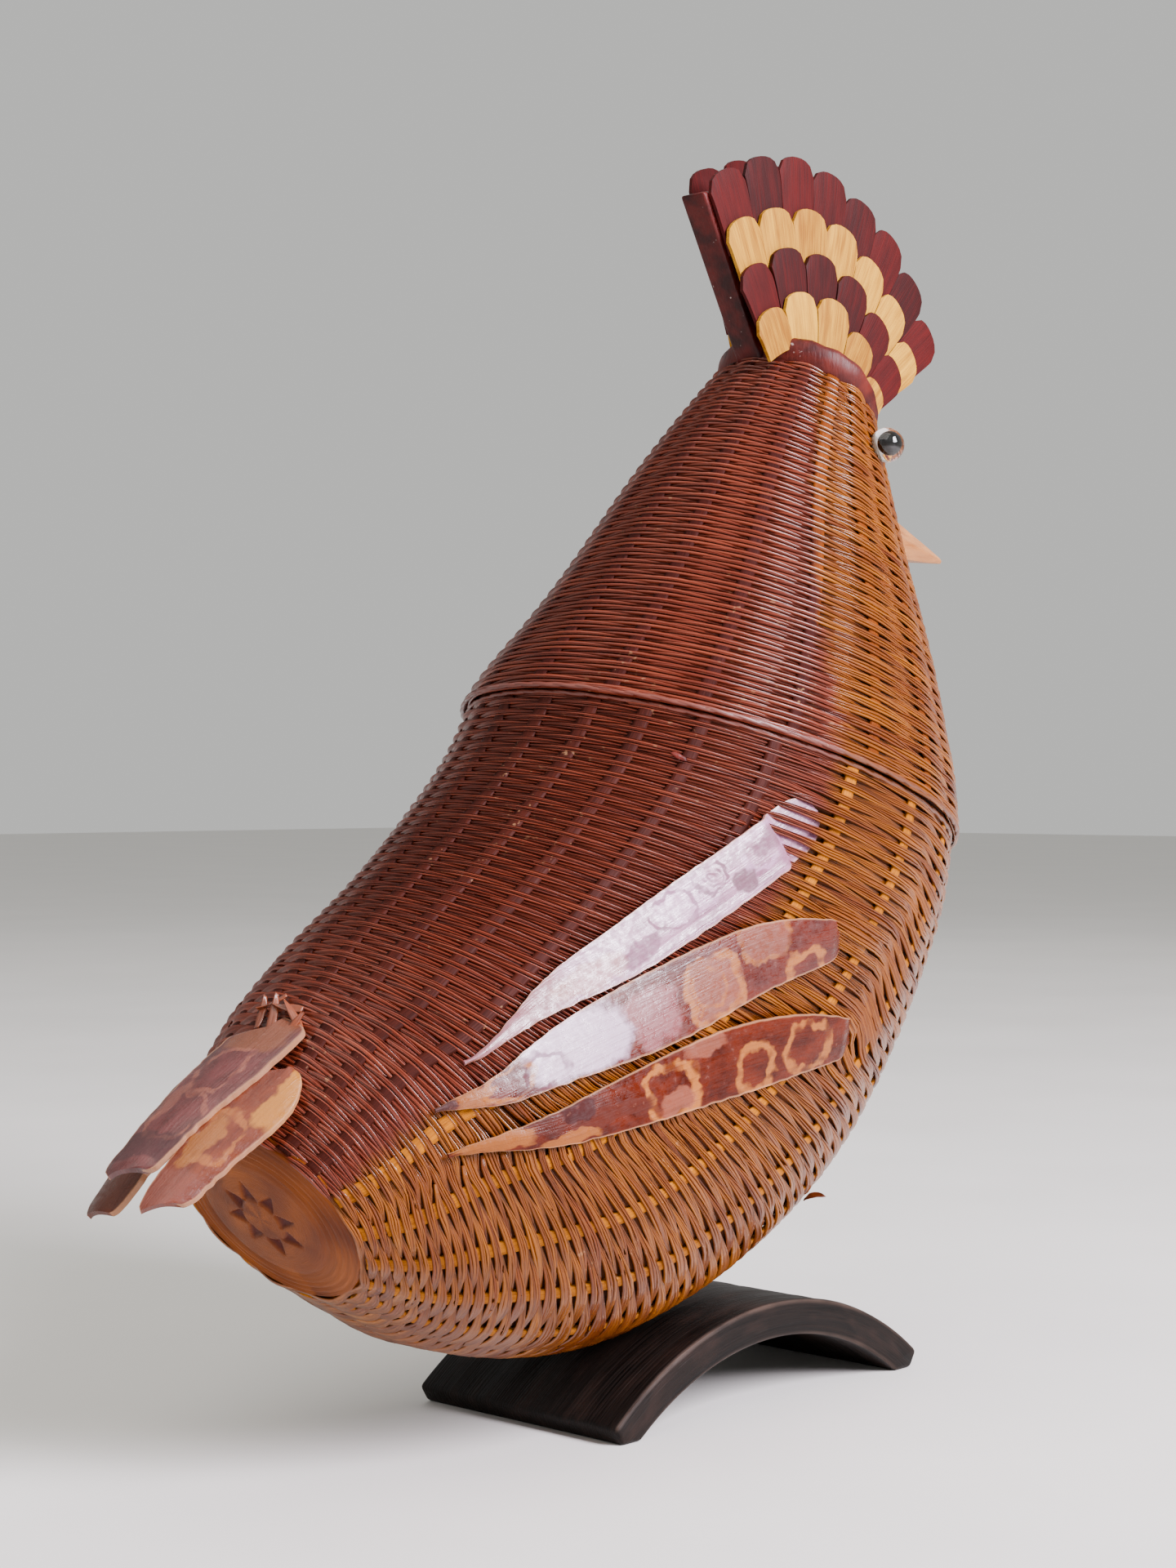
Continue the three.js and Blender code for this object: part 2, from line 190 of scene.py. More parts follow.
def thicken(bm, down):
    # closes a sheet into a solid: its other side lies where the layer called down says
    made = bmesh.ops.extrude_face_region(bm, geom=bm.faces[:])["geom"]
    for vert in made:
        if isinstance(vert, bmesh.types.BMVert):
            vert.co += vert[down]
    bm.verts.layers.float_vector.remove(down)
    bmesh.ops.recalc_face_normals(bm, faces=bm.faces)


# Camera, light and floor
cameraView = {
    "azimuth": -47,        # degrees round the bird from its side
    "distance": 417,       # millimetres from the middle of the picture
    "sideways": -9.7,      # where the picture's middle is, across and up
    "height": 97,
    "lens": 60,
    "sensor": 36,
}

turned = math.radians(cameraView["azimuth"])
toRight = Vector((math.cos(turned), math.sin(turned), 0))
toCamera = Vector((math.sin(turned), -math.cos(turned), 0))
lookedAt = toRight * cameraView["sideways"] * mm + Vector((shift.x, shift.y, cameraView["height"] * mm))

cameraData = bpy.data.cameras.new("camera")
cameraData.sensor_fit = "VERTICAL"
cameraData.sensor_height = cameraView["sensor"]
cameraData.lens = cameraView["lens"]
cameraData.clip_start = 0.01
camera = bpy.data.objects.new("camera", cameraData)
camera.location = lookedAt + toCamera * cameraView["distance"] * mm
camera.rotation_euler = (math.radians(90), 0, turned)
bpy.context.scene.collection.objects.link(camera)
bpy.context.scene.camera = camera

# name: degrees round from the camera to its right, degrees up, metres away, width, height, watts, colour
studioLights = {
    "window": (55, 31, 0.85, 0.34, 0.46, 30, (0.95, 0.9, 1.0)),
    "ceiling": (-35, 62, 0.9, 0.9, 0.9, 6, (1.0, 0.96, 0.9)),
    "fill": (-60, 18, 1.1, 0.8, 0.8, 1, (0.92, 0.95, 1.0)),
    "behind": (170, 35, 1.2, 0.8, 0.8, 1.5, (1.0, 0.98, 0.95)),
}


def addLight(name, around, up, away, width, height, watts, colour):
    around = math.radians(around)
    up = math.radians(up)
    flat = toCamera * math.cos(around) + toRight * math.sin(around)
    direction = flat * math.cos(up) + Vector((0, 0, math.sin(up)))
    data = bpy.data.lights.new(name, "AREA")
    data.shape = "RECTANGLE"
    data.size = width
    data.size_y = height
    data.energy = watts
    data.color = colour
    lamp = bpy.data.objects.new(name, data)
    lamp.location = lookedAt + direction * away
    lamp.rotation_euler = direction.to_track_quat("Z", "Y").to_euler()
    bpy.context.scene.collection.objects.link(lamp)


for lightName, values in studioLights.items():
    addLight(lightName, *values)

world = bpy.data.worlds.new("studio")
world.use_nodes = True
world.node_tree.nodes["Background"].inputs["Color"].default_value = (0.83, 0.83, 0.81, 1)
world.node_tree.nodes["Background"].inputs["Strength"].default_value = 0.74
bpy.context.scene.world = world


# Materials
def newMaterial(name, **plain):
    material = bpy.data.materials.new(name)
    material.use_nodes = True
    shader = material.node_tree.nodes["Principled BSDF"]
    for socket, value in plain.items():
        shader.inputs[socket.replace("_", " ")].default_value = value
    return material, shader, Wiring(material.node_tree)


class Wiring:
    # short forms for placing nodes in one material or group
    def __init__(self, tree):
        self.tree = tree

    def join(self, source, target):
        self.tree.links.new(source, target)

    def node(self, kind, values, **settings):
        # a value that is a socket is joined, any other is set
        node = self.tree.nodes.new("ShaderNode" + kind)
        for name, value in settings.items():
            setattr(node, name, value)
        for name, value in values.items():
            if isinstance(value, bpy.types.NodeSocket):
                self.join(value, node.inputs[name])
            else:
                node.inputs[name].default_value = value
        return node.outputs

    def attribute(self, name, output="Fac"):
        return self.node("Attribute", {}, attribute_name=name)[output]

    def objectSpot(self, scale):
        return self.scaled(self.node("TexCoord", {})["Object"], scale)

    def scaled(self, vector, scale):
        return self.node("Mapping", {"Vector": vector, "Scale": scale})["Vector"]

    def noise(self, vector, scale, detail=2.0, roughness=0.5):
        values = {"Vector": vector, "Scale": scale, "Detail": detail, "Roughness": roughness}
        return self.node("TexNoise", values)["Fac"]

    def math(self, operation, a, b=0.0, clamp=False):
        return self.node("Math", {0: a, 1: b}, operation=operation, use_clamp=clamp)[0]

    def product(self, a, b):
        return self.math("MULTIPLY", a, b, True)

    def weighted(self, a, weightA, b, weightB):
        return self.math("ADD", self.math("MULTIPLY", a, weightA), self.math("MULTIPLY", b, weightB))

    def ramp(self, value, low, high, start=0.0, end=1.0):
        values = {"Value": value, "From Min": low, "From Max": high, "To Min": start, "To Max": end}
        return self.node("MapRange", values)["Result"]

    def mix(self, share, a, b, blendType="MIX"):
        return self.node("Mix", {0: share, 6: a, 7: b}, data_type="RGBA", blend_type=blendType)[2]

    def bump(self, height, strength, distance):
        return self.node("Bump", {"Height": height, "Strength": strength, "Distance": distance})["Normal"]

    def group(self, tree, **values):
        return self.node("Group", values, node_tree=tree)

    def finish(self, shader, colour, height, rough, relief):
        # rough: the height's low and high, then the roughness at each; relief: strength and depth
        self.join(colour, shader.inputs["Base Color"])
        self.join(self.ramp(height, *rough), shader.inputs["Roughness"])
        self.join(self.bump(height, *relief), shader.inputs["Normal"])


def newGroup(name, inputs, outputs):
    tree = bpy.data.node_groups.new(name, "ShaderNodeTree")
    for label, kind in inputs.items():
        tree.interface.new_socket(name=label, in_out="INPUT", socket_type=kind)
    for label, kind in outputs.items():
        tree.interface.new_socket(name=label, in_out="OUTPUT", socket_type=kind)
    return tree, tree.nodes.new("NodeGroupInput").outputs, tree.nodes.new("NodeGroupOutput").inputs


def makeFibreGroup():
    # fine streaks along a strand or a strip: a colour that is darkened and lightened, and a height
    tree, given, result = newGroup(
        "fibre streaks",
        {"Along": "NodeSocketVector", "Colour": "NodeSocketColor", "Depth": "NodeSocketFloat"},
        {"Colour": "NodeSocketColor", "Height": "NodeSocketFloat"})
    w = Wiring(tree)
    fine = w.noise(w.scaled(given["Along"], (0.16, 5.0, 1.0)), 1.0, 3.0, 0.6)
    broad = w.noise(w.scaled(given["Along"], (0.05, 0.5, 1.0)), 1.0, 2.0)
    shade = w.weighted(fine, 0.7, broad, 0.5)
    share = w.product(w.ramp(shade, 0.48, 0.78), given["Depth"])
    dark = w.mix(1.0, given["Colour"], (0.34, 0.24, 0.2, 1), "MULTIPLY")
    w.join(w.mix(share, given["Colour"], dark), result["Colour"])
    w.join(fine, result["Height"])
    return tree


def makeSpeckGroup():
    # little flecks of dust and dried glue on lacquer
    tree, given, result = newGroup(
        "lacquer flecks",
        {"Place": "NodeSocketVector", "Amount": "NodeSocketFloat"},
        {"Mask": "NodeSocketFloat"})
    w = Wiring(tree)
    spots = w.noise(w.scaled(given["Place"], (1, 1, 1)), 900.0, 2.0)
    patches = w.noise(w.scaled(given["Place"], (1, 1, 1)), 60.0, 1.0)
    both = w.math("ADD", spots, w.math("MULTIPLY", patches, 0.35))
    w.join(w.product(w.ramp(both, 0.88, 0.94), given["Amount"]), result["Mask"])
    return tree


fibreGroup = makeFibreGroup()
speckGroup = makeSpeckGroup()

caneFinish = {
    "amber": (0.145, 0.027, 0.0004, 1),
    "amberPale": (0.39, 0.128, 0.003, 1),
    "maroon": (0.13, 0.019, 0.008, 1),
    "maroonPale": (0.27, 0.055, 0.024, 1),
}


def makeCaneMaterial(name, paleShare, roughness, underWeftShade=0.0, **plain):
    # the fourth argument darkens the red parts that lie under the wefts towards near-black, as painted shade
    material, shader, w = newMaterial(name, **plain)
    along = w.attribute("strand", "Vector")
    tone = w.attribute("tone")
    stain = w.attribute("stain")
    amber = w.mix(w.ramp(tone, 0, 1, 0, paleShare), caneFinish["amber"], caneFinish["amberPale"])
    maroon = w.mix(w.ramp(tone, 0, 1, 0, paleShare), caneFinish["maroon"], caneFinish["maroonPale"])
    # painted shade: the red under the wefts goes near-black
    maroon = w.mix(underWeftShade, maroon, (0.022, 0.002, 0.001, 1))
    streaked = w.group(fibreGroup, Along=along, Colour=w.mix(stain, amber, maroon), Depth=0.85)
    flecks = w.group(speckGroup, Place=w.objectSpot((1, 1, 1)), Amount=0.25)
    colour = w.mix(flecks["Mask"], streaked["Colour"], (0.5, 0.27, 0.13, 1))
    w.finish(shader, colour, streaked["Height"], (0.3, 0.75, roughness, roughness + 0.2), (0.35, 0.0002))
    return material


caneMaterial = makeCaneMaterial(
    "lacquered cane", 0.6, 0.26, Coat_Weight=0.32, Coat_Roughness=0.08, Specular_IOR_Level=0.15)
# the body's stakes are pushed to the pale amber: their own paler bamboo, with the glint where light catches them
# painted in; where red, they are darkened as painted shade
stakeMaterial = makeCaneMaterial("split bamboo stakes", 1.6, 0.5, 0.93, Specular_IOR_Level=0.08)
# the lid's stakes are coloured dark, amber and red alike, as painted shade where they lie under the wefts
lidStakeMaterial = makeCaneMaterial("lid stakes in painted shade", 0.1, 0.6, 0.93, Specular_IOR_Level=0.08)
rimMaterial = makeCaneMaterial("rim binding", 0.35, 0.3, Coat_Weight=0.2, Coat_Roughness=0.15)


def makePlainMaterial(name, colour, colourTwo, roughness, grainScale, bumpDepth, **plain):
    # a finish whose two colours wander over the piece, with a fine grain
    material, shader, w = newMaterial(name, **plain)
    grain = w.noise(w.objectSpot(grainScale), 1.0, 4.0, 0.6)
    mixed = w.mix(w.ramp(grain, 0.32, 0.68), colour, colourTwo)
    w.finish(shader, mixed, grain, (0.3, 0.7, roughness, roughness + 0.14), (0.4, bumpDepth))
    return material


# the lining and collar, seen through the weave's gaps and at the seam, are near-black: painted shade of the
# box's inside
shadeLiningMaterial = makePlainMaterial(
    "lining in painted shade", (0.03, 0.007, 0.002, 1), (0.07, 0.018, 0.004, 1), 0.7, (300, 300, 300), 0.0002,
    Specular_IOR_Level=0.1)
floorMaterial = makePlainMaterial(
    "pale floor", (0.66, 0.64, 0.61, 1), (0.7, 0.68, 0.65, 1), 0.55, (9, 9, 9), 0.0001)

floorMesh = bmesh.new()
bmesh.ops.create_grid(floorMesh, x_segments=4, y_segments=4, size=4)
floorData = bpy.data.meshes.new("floor")
floorMesh.to_mesh(floorData)
floorMesh.free()
floorData.materials.append(floorMaterial)
floor = bpy.data.objects.new("floor", floorData)
bpy.context.scene.collection.objects.link(floor)
print("camera, lights and floor are in place")

# The weave: stakes from the rump upward, and wefts that pass over and under them
weave = {
    "bodyStakes": (6.5, 19, 31.5, 44, 60, 79, 99, 119, 140, 166),   # degrees from the back, on each side
    "lidStakes": 18,
    "lidStakesFrom": 17.5,
    "sweep": 17,           # degrees by which the stakes lean to the belly near the rump
    "sweepFrom": 1.9,
    "backRows": 84,
    "bellyRows": 116,      # short rows are laid in on the belly only
    "rumpCrowding": 1.45,  # how much closer the belly's rows lie near the rump
    "lidRows": 66,
    "shortSpan": (-6, 9),  # the short rows begin under the lower wing strip, in degrees from its middle
    # on the back, then on the belly:
    "amplitude": (0.42, 0.5),    # millimetres that a weft swings in and out
    "thick": (0.46, 0.36),
    "spread": (0.27, 0.46),      # how much wider a weft is where it lies over a stake
    "fullness": (1.24, 1.16),
    "fibreHalf": (0.46, 0.34),
    "wander": (0.09, 0.5),
    "bodyFibres": 4,
    "lidFibres": 3,
    "sides": 4,
    "stepsPerStake": 6,
    "stakeWidth": 2.3,
    "stakeThickness": 0.5,
    "stainEdge": (
        (0, 72), (0.55, 66), (1.1, 60), (2.1, 59), (2.8, 66), (3.4, 73), (4.2, 74), (4.7, 74.5),
        (5.2, 71), (5.85, 64), (7.24, 59), (8, 51)),
    "seed": 11,
}


def bellyShare(degrees):
    return smooth((abs(degrees) - 62) / 16)


def weaveAt(name, belly):
    return blend(*weave[name], belly)


def stainAt(at, degrees):
    edge = weave["stainEdge"]
    turn = edge[-1][1]
    for (a, low), (b, high) in zip(edge, edge[1:]):
        if at <= b:
            turn = blend(low, high, (at - a) / (b - a))
            break
    ragged = 2.4 * noise.noise(Vector((at * 11.0, degrees * 0.02, 3.0)))
    return 1 - smooth((abs(degrees) - turn - ragged + 1.6) / 3.2)


def signedDegrees(turn):
    degrees = math.degrees(turn) % 360
    return degrees - 360 if degrees > 180 else degrees


def bodyTurns():
    left = weave["bodyStakes"]
    return tuple(left) + tuple(360 - turn for turn in reversed(left))


def lidTurns():
    count = weave["lidStakes"]
    return tuple(weave["lidStakesFrom"] + 360 * i / count for i in range(count))


def turnAt(turns, place, at):
    # the angle at a place counted in stakes
    i = int(place) % len(turns)
    here = turns[i]
    there = turns[i + 1] if i + 1 < len(turns) else turns[0] + 360
    turn = math.radians(blend(here, there, place - int(place)))
    sweep = math.radians(weave["sweep"]) * smooth(1 - at / weave["sweepFrom"])
    return turn + sweep * math.sin(turn)


def shortShare(at, degrees):
    low, high, turns = stripTables["lower"]
    place = min(max((at - low) / (high - low), 0), 1) * (len(turns) - 1)
    start, end = (interpolate(turns, place) + edge for edge in weave["shortSpan"])
    return smooth((abs(degrees) - start) / (end - start))


def bodyRows():
    # full rows, with pairs of short ones wherever the belly has fallen two rows behind
    seam = birdForm["seam"]
    back = evenStations(0, seam, 0.3, weave["backRows"])
    belly = evenStations(0, seam, 2.1, weave["bellyRows"], weave["rumpCrowding"])
    rows = []
    extra = 0
    for k in range(weave["backRows"]):
        rows.append({"full": k, "extra": extra, "short": False, "order": len(rows)})
        reached = sum(1 for at in belly if at < back[k + 1]) - 1
        if reached - (k + 1 + extra) >= 2 and extra < weave["bellyRows"] - weave["backRows"]:
            for _ in range(2):
                rows.append({"full": k + 1, "extra": extra, "short": True, "order": len(rows)})
                extra += 1
    return rows, back, belly, extra


def placeBodyRow(row, table, degrees):
    # the row's middle along the spine, and half its height, where the side has this angle
    _, back, belly, extra = table
    share = shortShare(back[row["full"]], degrees)
    own = share if row["short"] else 1.0
    before = row["full"] + row["extra"] * share
    total = weave["backRows"] + extra * share
    low = before / total
    high = (before + own) / total
    ends = []
    for part in (low, high):
        onBack = interpolate(back, part * (len(back) - 1))
        onBelly = interpolate(belly, part * (len(belly) - 1))
        ends.append(blend(onBack, onBelly, share))
    return (ends[0] + ends[1]) / 2, (ends[1] - ends[0]) / 2


def strandRing(stepCount, angle, fibres):
    # one weft of split strands side by side, once round Z, in shares of its real size
    bm = bmesh.new()
    upright = Matrix.Rotation(math.pi / 2, 4, "X")
    for i in range(fibres):
        place = Matrix.Translation((10, 0, 2 * i)) @ upright
        bmesh.ops.create_circle(bm, segments=weave["sides"], radius=1, matrix=place)
    closed = angle > 6.28
    bmesh.ops.spin(
        bm, geom=bm.verts[:] + bm.edges[:], cent=(0, 0, 0), axis=(0, 0, 1),
        steps=stepCount, angle=angle, use_merge=closed)
    if not closed:
        bmesh.ops.holes_fill(bm, edges=[e for e in bm.edges if e.is_boundary], sides=weave["sides"])
    bmesh.ops.recalc_face_normals(bm, faces=bm.faces)
    spots = []
    for vert in bm.verts:
        around = math.atan2(vert.co.y, vert.co.x) % (2 * math.pi)
        if around > 2 * math.pi - 1e-4:
            around = 0.0
        fibre = round(vert.co.z / 2)
        spots.append((around / angle, fibre, vert.co.z - 2 * fibre, math.hypot(vert.co.x, vert.co.y) - 10))
    mesh = bpy.data.meshes.new("strand ring")
    bm.to_mesh(mesh)
    bm.free()
    return mesh, spots


def layWefts(rows, turns, ring, spots, first, last, placeRow, outside):
    # every row is the same ring of strands, laid over and under the stakes
    fibres = 1 + max(spot[1] for spot in spots)
    bm = bmesh.new()
    for _ in rows:
        bm.from_mesh(ring)
    strand, tone, stain = newLayers(bm, "strand", "tone", "stain")
    middleFibre = (fibres - 1) / 2
    count = len(spots)
    rowTone = {}
    draw = random.Random(weave["seed"])
    for row in rows:
        rowTone[row["order"]] = [draw.random() for _ in range(fibres + 1)]
    for index, vert in enumerate(bm.verts):
        row = rows[index // count]
        share, fibre, across, out = spots[index % count]
        place = blend(first, last, share)
        roughTurn = turnAt(turns, place, 3.0)
        at, half = placeRow(row, signedDegrees(roughTurn))
        turn = turnAt(turns, place, at)
        degrees = signedDegrees(turn)
        swing = math.cos(math.pi * place) * (-1 if row["order"] % 2 else 1)
        belly = bellyShare(degrees)
        wander = noise.noise(Vector((place * 1.9, row["order"] * 3.1, fibre * 5.3)))
        wander += 0.3 * noise.noise(Vector((place * 0.7, row["order"] * 0.8, 2.0)))
        rise = noise.noise(Vector((place * 1.3 + 40, row["order"] * 2.3, fibre * 4.1)))
        apart = (fibre - middleFibre) / fibres * 2
        thick = weaveAt("thick", belly)
        swing, lift = overStrips(at, degrees, swing, row["order"])
        sideways = apart * blend(0.8, 0.95, belly) + across * weaveAt("fibreHalf", belly) * 3 / fibres
        sideways *= weaveAt("fullness", belly)
        sideways += wander * weaveAt("wander", belly)
        widened = 1 + weaveAt("spread", belly) * swing
        height = (swing - 1) * weaveAt("amplitude", belly) + (out - 1) * thick
        height += rise * blend(0.05, 0.14, belly) - 0.55 * apart * apart * (1 - belly)
        spot = at + half * sideways * widened
        vert.co = onForm(spot, turn, height + lift + outside(spot))
        vert[strand] = (place * 9.0 + row["order"] * 13.7, sideways * 0.5 + fibre * 3.0, row["order"])
        vert[tone] = 0.35 * rowTone[row["order"]][0] + 0.65 * rowTone[row["order"]][fibre + 1]
        vert[stain] = stainAt(at, degrees)
    return bm


# Bamboo strips on the wings: at is the place along the spine, turn is degrees from the back
wingStrips = {
    "upper": {
        "width": 7.9,
        "path": ((1.75, 49.8), (2.3, 49.8), (2.75, 51.6), (3.3, 57.6), (3.75, 65), (4.22, 73.5)),
        "point": 0.7,
        "taper": 1.8,
        "blunt": 0.08,
        "cut": 3.96,       # where the wefts begin to pass over it
        "woven": True,     # its end is woven in, so that it shows between the wefts
    },
    "middle": {
        "width": 10.4,
        "path": ((1.15, 60.4), (2.1, 59.2), (2.8, 65.9), (3.35, 76.5), (3.68, 94)),
        "point": 0.62,
        "taper": 1.2,
        "blunt": 0.42,
        "cut": 3.66,
        "woven": False,
    },
    "lower": {
        "width": 9.8,
        "path": ((1.02, 73.5), (1.9, 72.2), (2.63, 80.4), (3.08, 92.8), (3.36, 111.5)),
        "point": 0.74,
        "taper": 1.3,
        "blunt": 0.4,
        "cut": 3.34,
        "woven": False,
    },
}
stripShape = {
    "thickness": 0.5,
    "bed": 0.2,            # how far the strip's underside lies above the wefts
    "crowned": 0.22,
    "dip": 1.7,            # how far its front end goes down under the wefts
    "end": 0.6,
    "lengthSteps": 150,
    "widthSteps": 16,
}


def curveThrough(points, share):
    # a smooth curve through the given points; share runs from 0 to 1
    last = len(points) - 1
    place = min(max(share, 0.0), 1.0) * last
    i = min(int(place), last - 1)
    return smoothBetween(*padded(points)[i:i + 4], place - i)


def stripTurnTable(strip):
    # the strip's angle for places along the spine, in even steps of the spine
    samples = [curveThrough(strip["path"], i / 200) for i in range(201)]
    low = samples[0][0]
    high = samples[-1][0]
    turns = []
    for k in range(101):
        at = blend(low, high, k / 100)
        nearest = min(samples, key=lambda spot: abs(spot[0] - at))
        turns.append(nearest[1])
    return low, high, turns


stripTables = {name: stripTurnTable(strip) for name, strip in wingStrips.items()}


def overStrips(at, degrees, swing, order):
    # where a wing strip's front end lies under the wefts they all pass over it, or every other one does
    lift = 0.0
    for name, strip in wingStrips.items():
        low, high, turns = stripTables[name]
        cut = strip["cut"]
        if at < cut - 0.03 or at > high + 0.15:
            continue
        turn = interpolate(turns, (at - low) / (high - low) * (len(turns) - 1))
        halfTurn = strip["width"] / 2 * 1.4
        share = 1 - smooth((abs(abs(degrees) - turn) - halfTurn) / 3)
        share *= smooth((at - cut + 0.03) / 0.03) * (1 - smooth((at - high) / 0.15))
        if strip["woven"] and order % 2:
            swing = blend(swing, -1.0, share)
            lift = blend(lift, -0.9, share)
        else:
            swing = blend(swing, max(swing, 0.75), share)
            lift = blend(lift, 0.3, share)
    return swing, lift


def weavePiece(name, rows, turns, first, last, fibres, placeRow, outside, node):
    angle = 2 * math.pi if last == len(turns) else math.pi
    ring, spots = strandRing(round((last - first) * weave["stepsPerStake"]), angle, fibres)
    bm = layWefts(rows, turns, ring, spots, first, last, placeRow, outside)
    makePiece(name, bm, caneMaterial, "woven_rattan", node)


def flush(_):
    return 0.0


def makeWeave():
    table = bodyRows()
    full = [row for row in table[0] if not row["short"]]
    short = [row for row in table[0] if row["short"]]
    half = len(full) // 2
    turns = bodyTurns()
    first = 4.6    # the short rows turn back under the wing strips
    for name, rows, start, end in (
            ("body_wefts_rear", full[:half], 0, len(turns)), ("body_wefts_front", full[half:], 0, len(turns)),
            ("belly_short_rows", short, first, len(turns) - 1 - first)):
        weavePiece(
            name, rows, turns, start, end, weave["bodyFibres"],
            lambda row, degrees: placeBodyRow(row, table, degrees), flush, "basket_body")

    places = evenStations(lidRim, birdForm["crown"], 1.0, weave["lidRows"])

    def placeLidRow(row, _):
        low, high = places[row["order"]:row["order"] + 2]
        return (low + high) / 2, (high - low) / 2

    turns = lidTurns()
    weavePiece(
        "lid_wefts", [{"order": k} for k in range(weave["lidRows"])], turns, 0, len(turns),
        weave["lidFibres"], placeLidRow, lidOffset, "head_lid")


def makeStakes(name, turns, low, high, outside, material, node):
    bm = bmesh.new()
    strand, tone, stain, down = newLayers(bm, "strand", "tone", "stain", "down")
    rows = 70
    half = weave["stakeWidth"] / 2
    for number in range(len(turns)):
        made = bmesh.ops.create_grid(bm, x_segments=4, y_segments=rows, size=0.5)["verts"]
        for vert in made:
            across = vert.co.x * 2
            share = vert.co.y + 0.5
            at = blend(low, high, share)
            turn = turnAt(turns, float(number), at)
            deep, wide = sectionAt(at)[3:]
            radius = math.hypot(deep * math.sin(turn), wide * math.cos(turn))
            turn += across * half / radius
            crown = 0.12 * (1 - across * across)
            belly = bellyShare(signedDegrees(turn))
            deepDown = weaveAt("amplitude", belly) + weaveAt("thick", belly) - weave["stakeThickness"] / 2
            vert.co = onForm(at, turn, crown - deepDown + outside(at))
            vert[down] = formNormal(at, turn) * -weave["stakeThickness"] * mm
            vert[strand] = (share * 120 + number * 40, across * 1.1, number)
            vert[tone] = 0.75
            vert[stain] = stainAt(at, signedDegrees(turn))
    thicken(bm, down)
    makePiece(name, bm, material, "woven_rattan", node)


def loftRings(rings, count, closeStart=False, closeEnd=False):
    # rings of points that are each a function of an angle, bridged one after the other
    bm = bmesh.new()
    edges = []
    for ring in rings:
        made = bmesh.ops.create_circle(bm, segments=count, radius=1)["verts"]
        for vert in made:
            vert.co = ring(math.atan2(vert.co.y, vert.co.x))
        edges.append([e for e in {e for v in made for e in v.link_edges}])
    for a, b in zip(edges, edges[1:]):
        bmesh.ops.bridge_loops(bm, edges=a + b)
    if closeStart:
        bmesh.ops.holes_fill(bm, edges=edges[0], sides=count)
    if closeEnd:
        bmesh.ops.holes_fill(bm, edges=edges[-1], sides=count)
    bmesh.ops.recalc_face_normals(bm, faces=bm.faces)
    return bm


# A sheet just inside the weave, and the lid's collar, both coloured as painted shade
lining = {
    "outside": -1.75,      # millimetres from the form to the lining's outside
    "bodyWall": 2.4,
    "lidWall": 2.8,
    "collarWall": 1.4,
    "collarOutside": -2.1,
    "collarHeight": 7,
    "collarFoot": 6,
    "headPlug": 17,
    "discThickness": 2.6,
    "around": 72,
}


def ringOf(at, offset):
    return lambda turn: onForm(at, turn, offset)


def makeLinings():
    seam = birdForm["seam"]
    step = perMillimetre(seam)
    outside = lining["outside"]
    collar = lining["collarOutside"]
    collarTop = seam + lining["collarHeight"] * step
    collarFoot = seam - lining["collarFoot"] * step
    floorAt = lining["discThickness"] * perMillimetre(0.1)
    inside = collar - lining["collarWall"]
    rings = [ringOf(blend(0.03, seam - 0.03, i / 24), outside) for i in range(25)]
    rings += [ringOf(seam - 0.01, collar), ringOf(collarTop, collar), ringOf(collarTop, inside)]
    rings += [ringOf(collarFoot, inside)]
    rings += [ringOf(blend(collarFoot - 0.15, floorAt, i / 14), -lining["bodyWall"]) for i in range(15)]
    bm = loftRings(rings, lining["around"], True, True)
    makePiece("body_lining_and_collar", bm, shadeLiningMaterial, "woven_rattan", "basket_body")

    plug = birdForm["crown"] - lining["headPlug"] * perMillimetre(birdForm["crown"] - 0.5)
    deep = birdForm["lidOverhang"] - lining["lidWall"]
    rings = [ringOf(birdForm["crown"] - 0.02, outside)]
    for i in range(19):
        at = blend(birdForm["crown"] - 0.1, lidRim + 0.03, i / 18)
        rings.append(ringOf(at, outside + lidOffset(at)))
    rings += [ringOf(lidRim + 0.02, deep)]
    rings += [ringOf(blend(lidRim + 0.4, plug, i / 9), deep) for i in range(10)]
    bm = loftRings(rings, lining["around"], True, True)
    makePiece("lid_lining", bm, shadeLiningMaterial, "woven_rattan", "head_lid")


makeWeave()
makeStakes("body_stakes", bodyTurns(), 0.03, birdForm["seam"] - 0.01, flush, stakeMaterial, "basket_body")
makeStakes(
    "lid_stakes", lidTurns(), lidRim + 0.02, birdForm["crown"] - 0.01, lidOffset, lidStakeMaterial,
    "head_lid")
makeLinings()
print("the basket is woven")

# Bindings: the twisted strands that finish the lid's and the body's edge
rimBinding = {
    "strands": 2,
    "sides": 6,
    "radius": 0.42,
    "twist": 0.08,         # how far a strand swings round the pair's middle
    "turns": 62,           # twists round the whole edge
    "steps": 496,
}


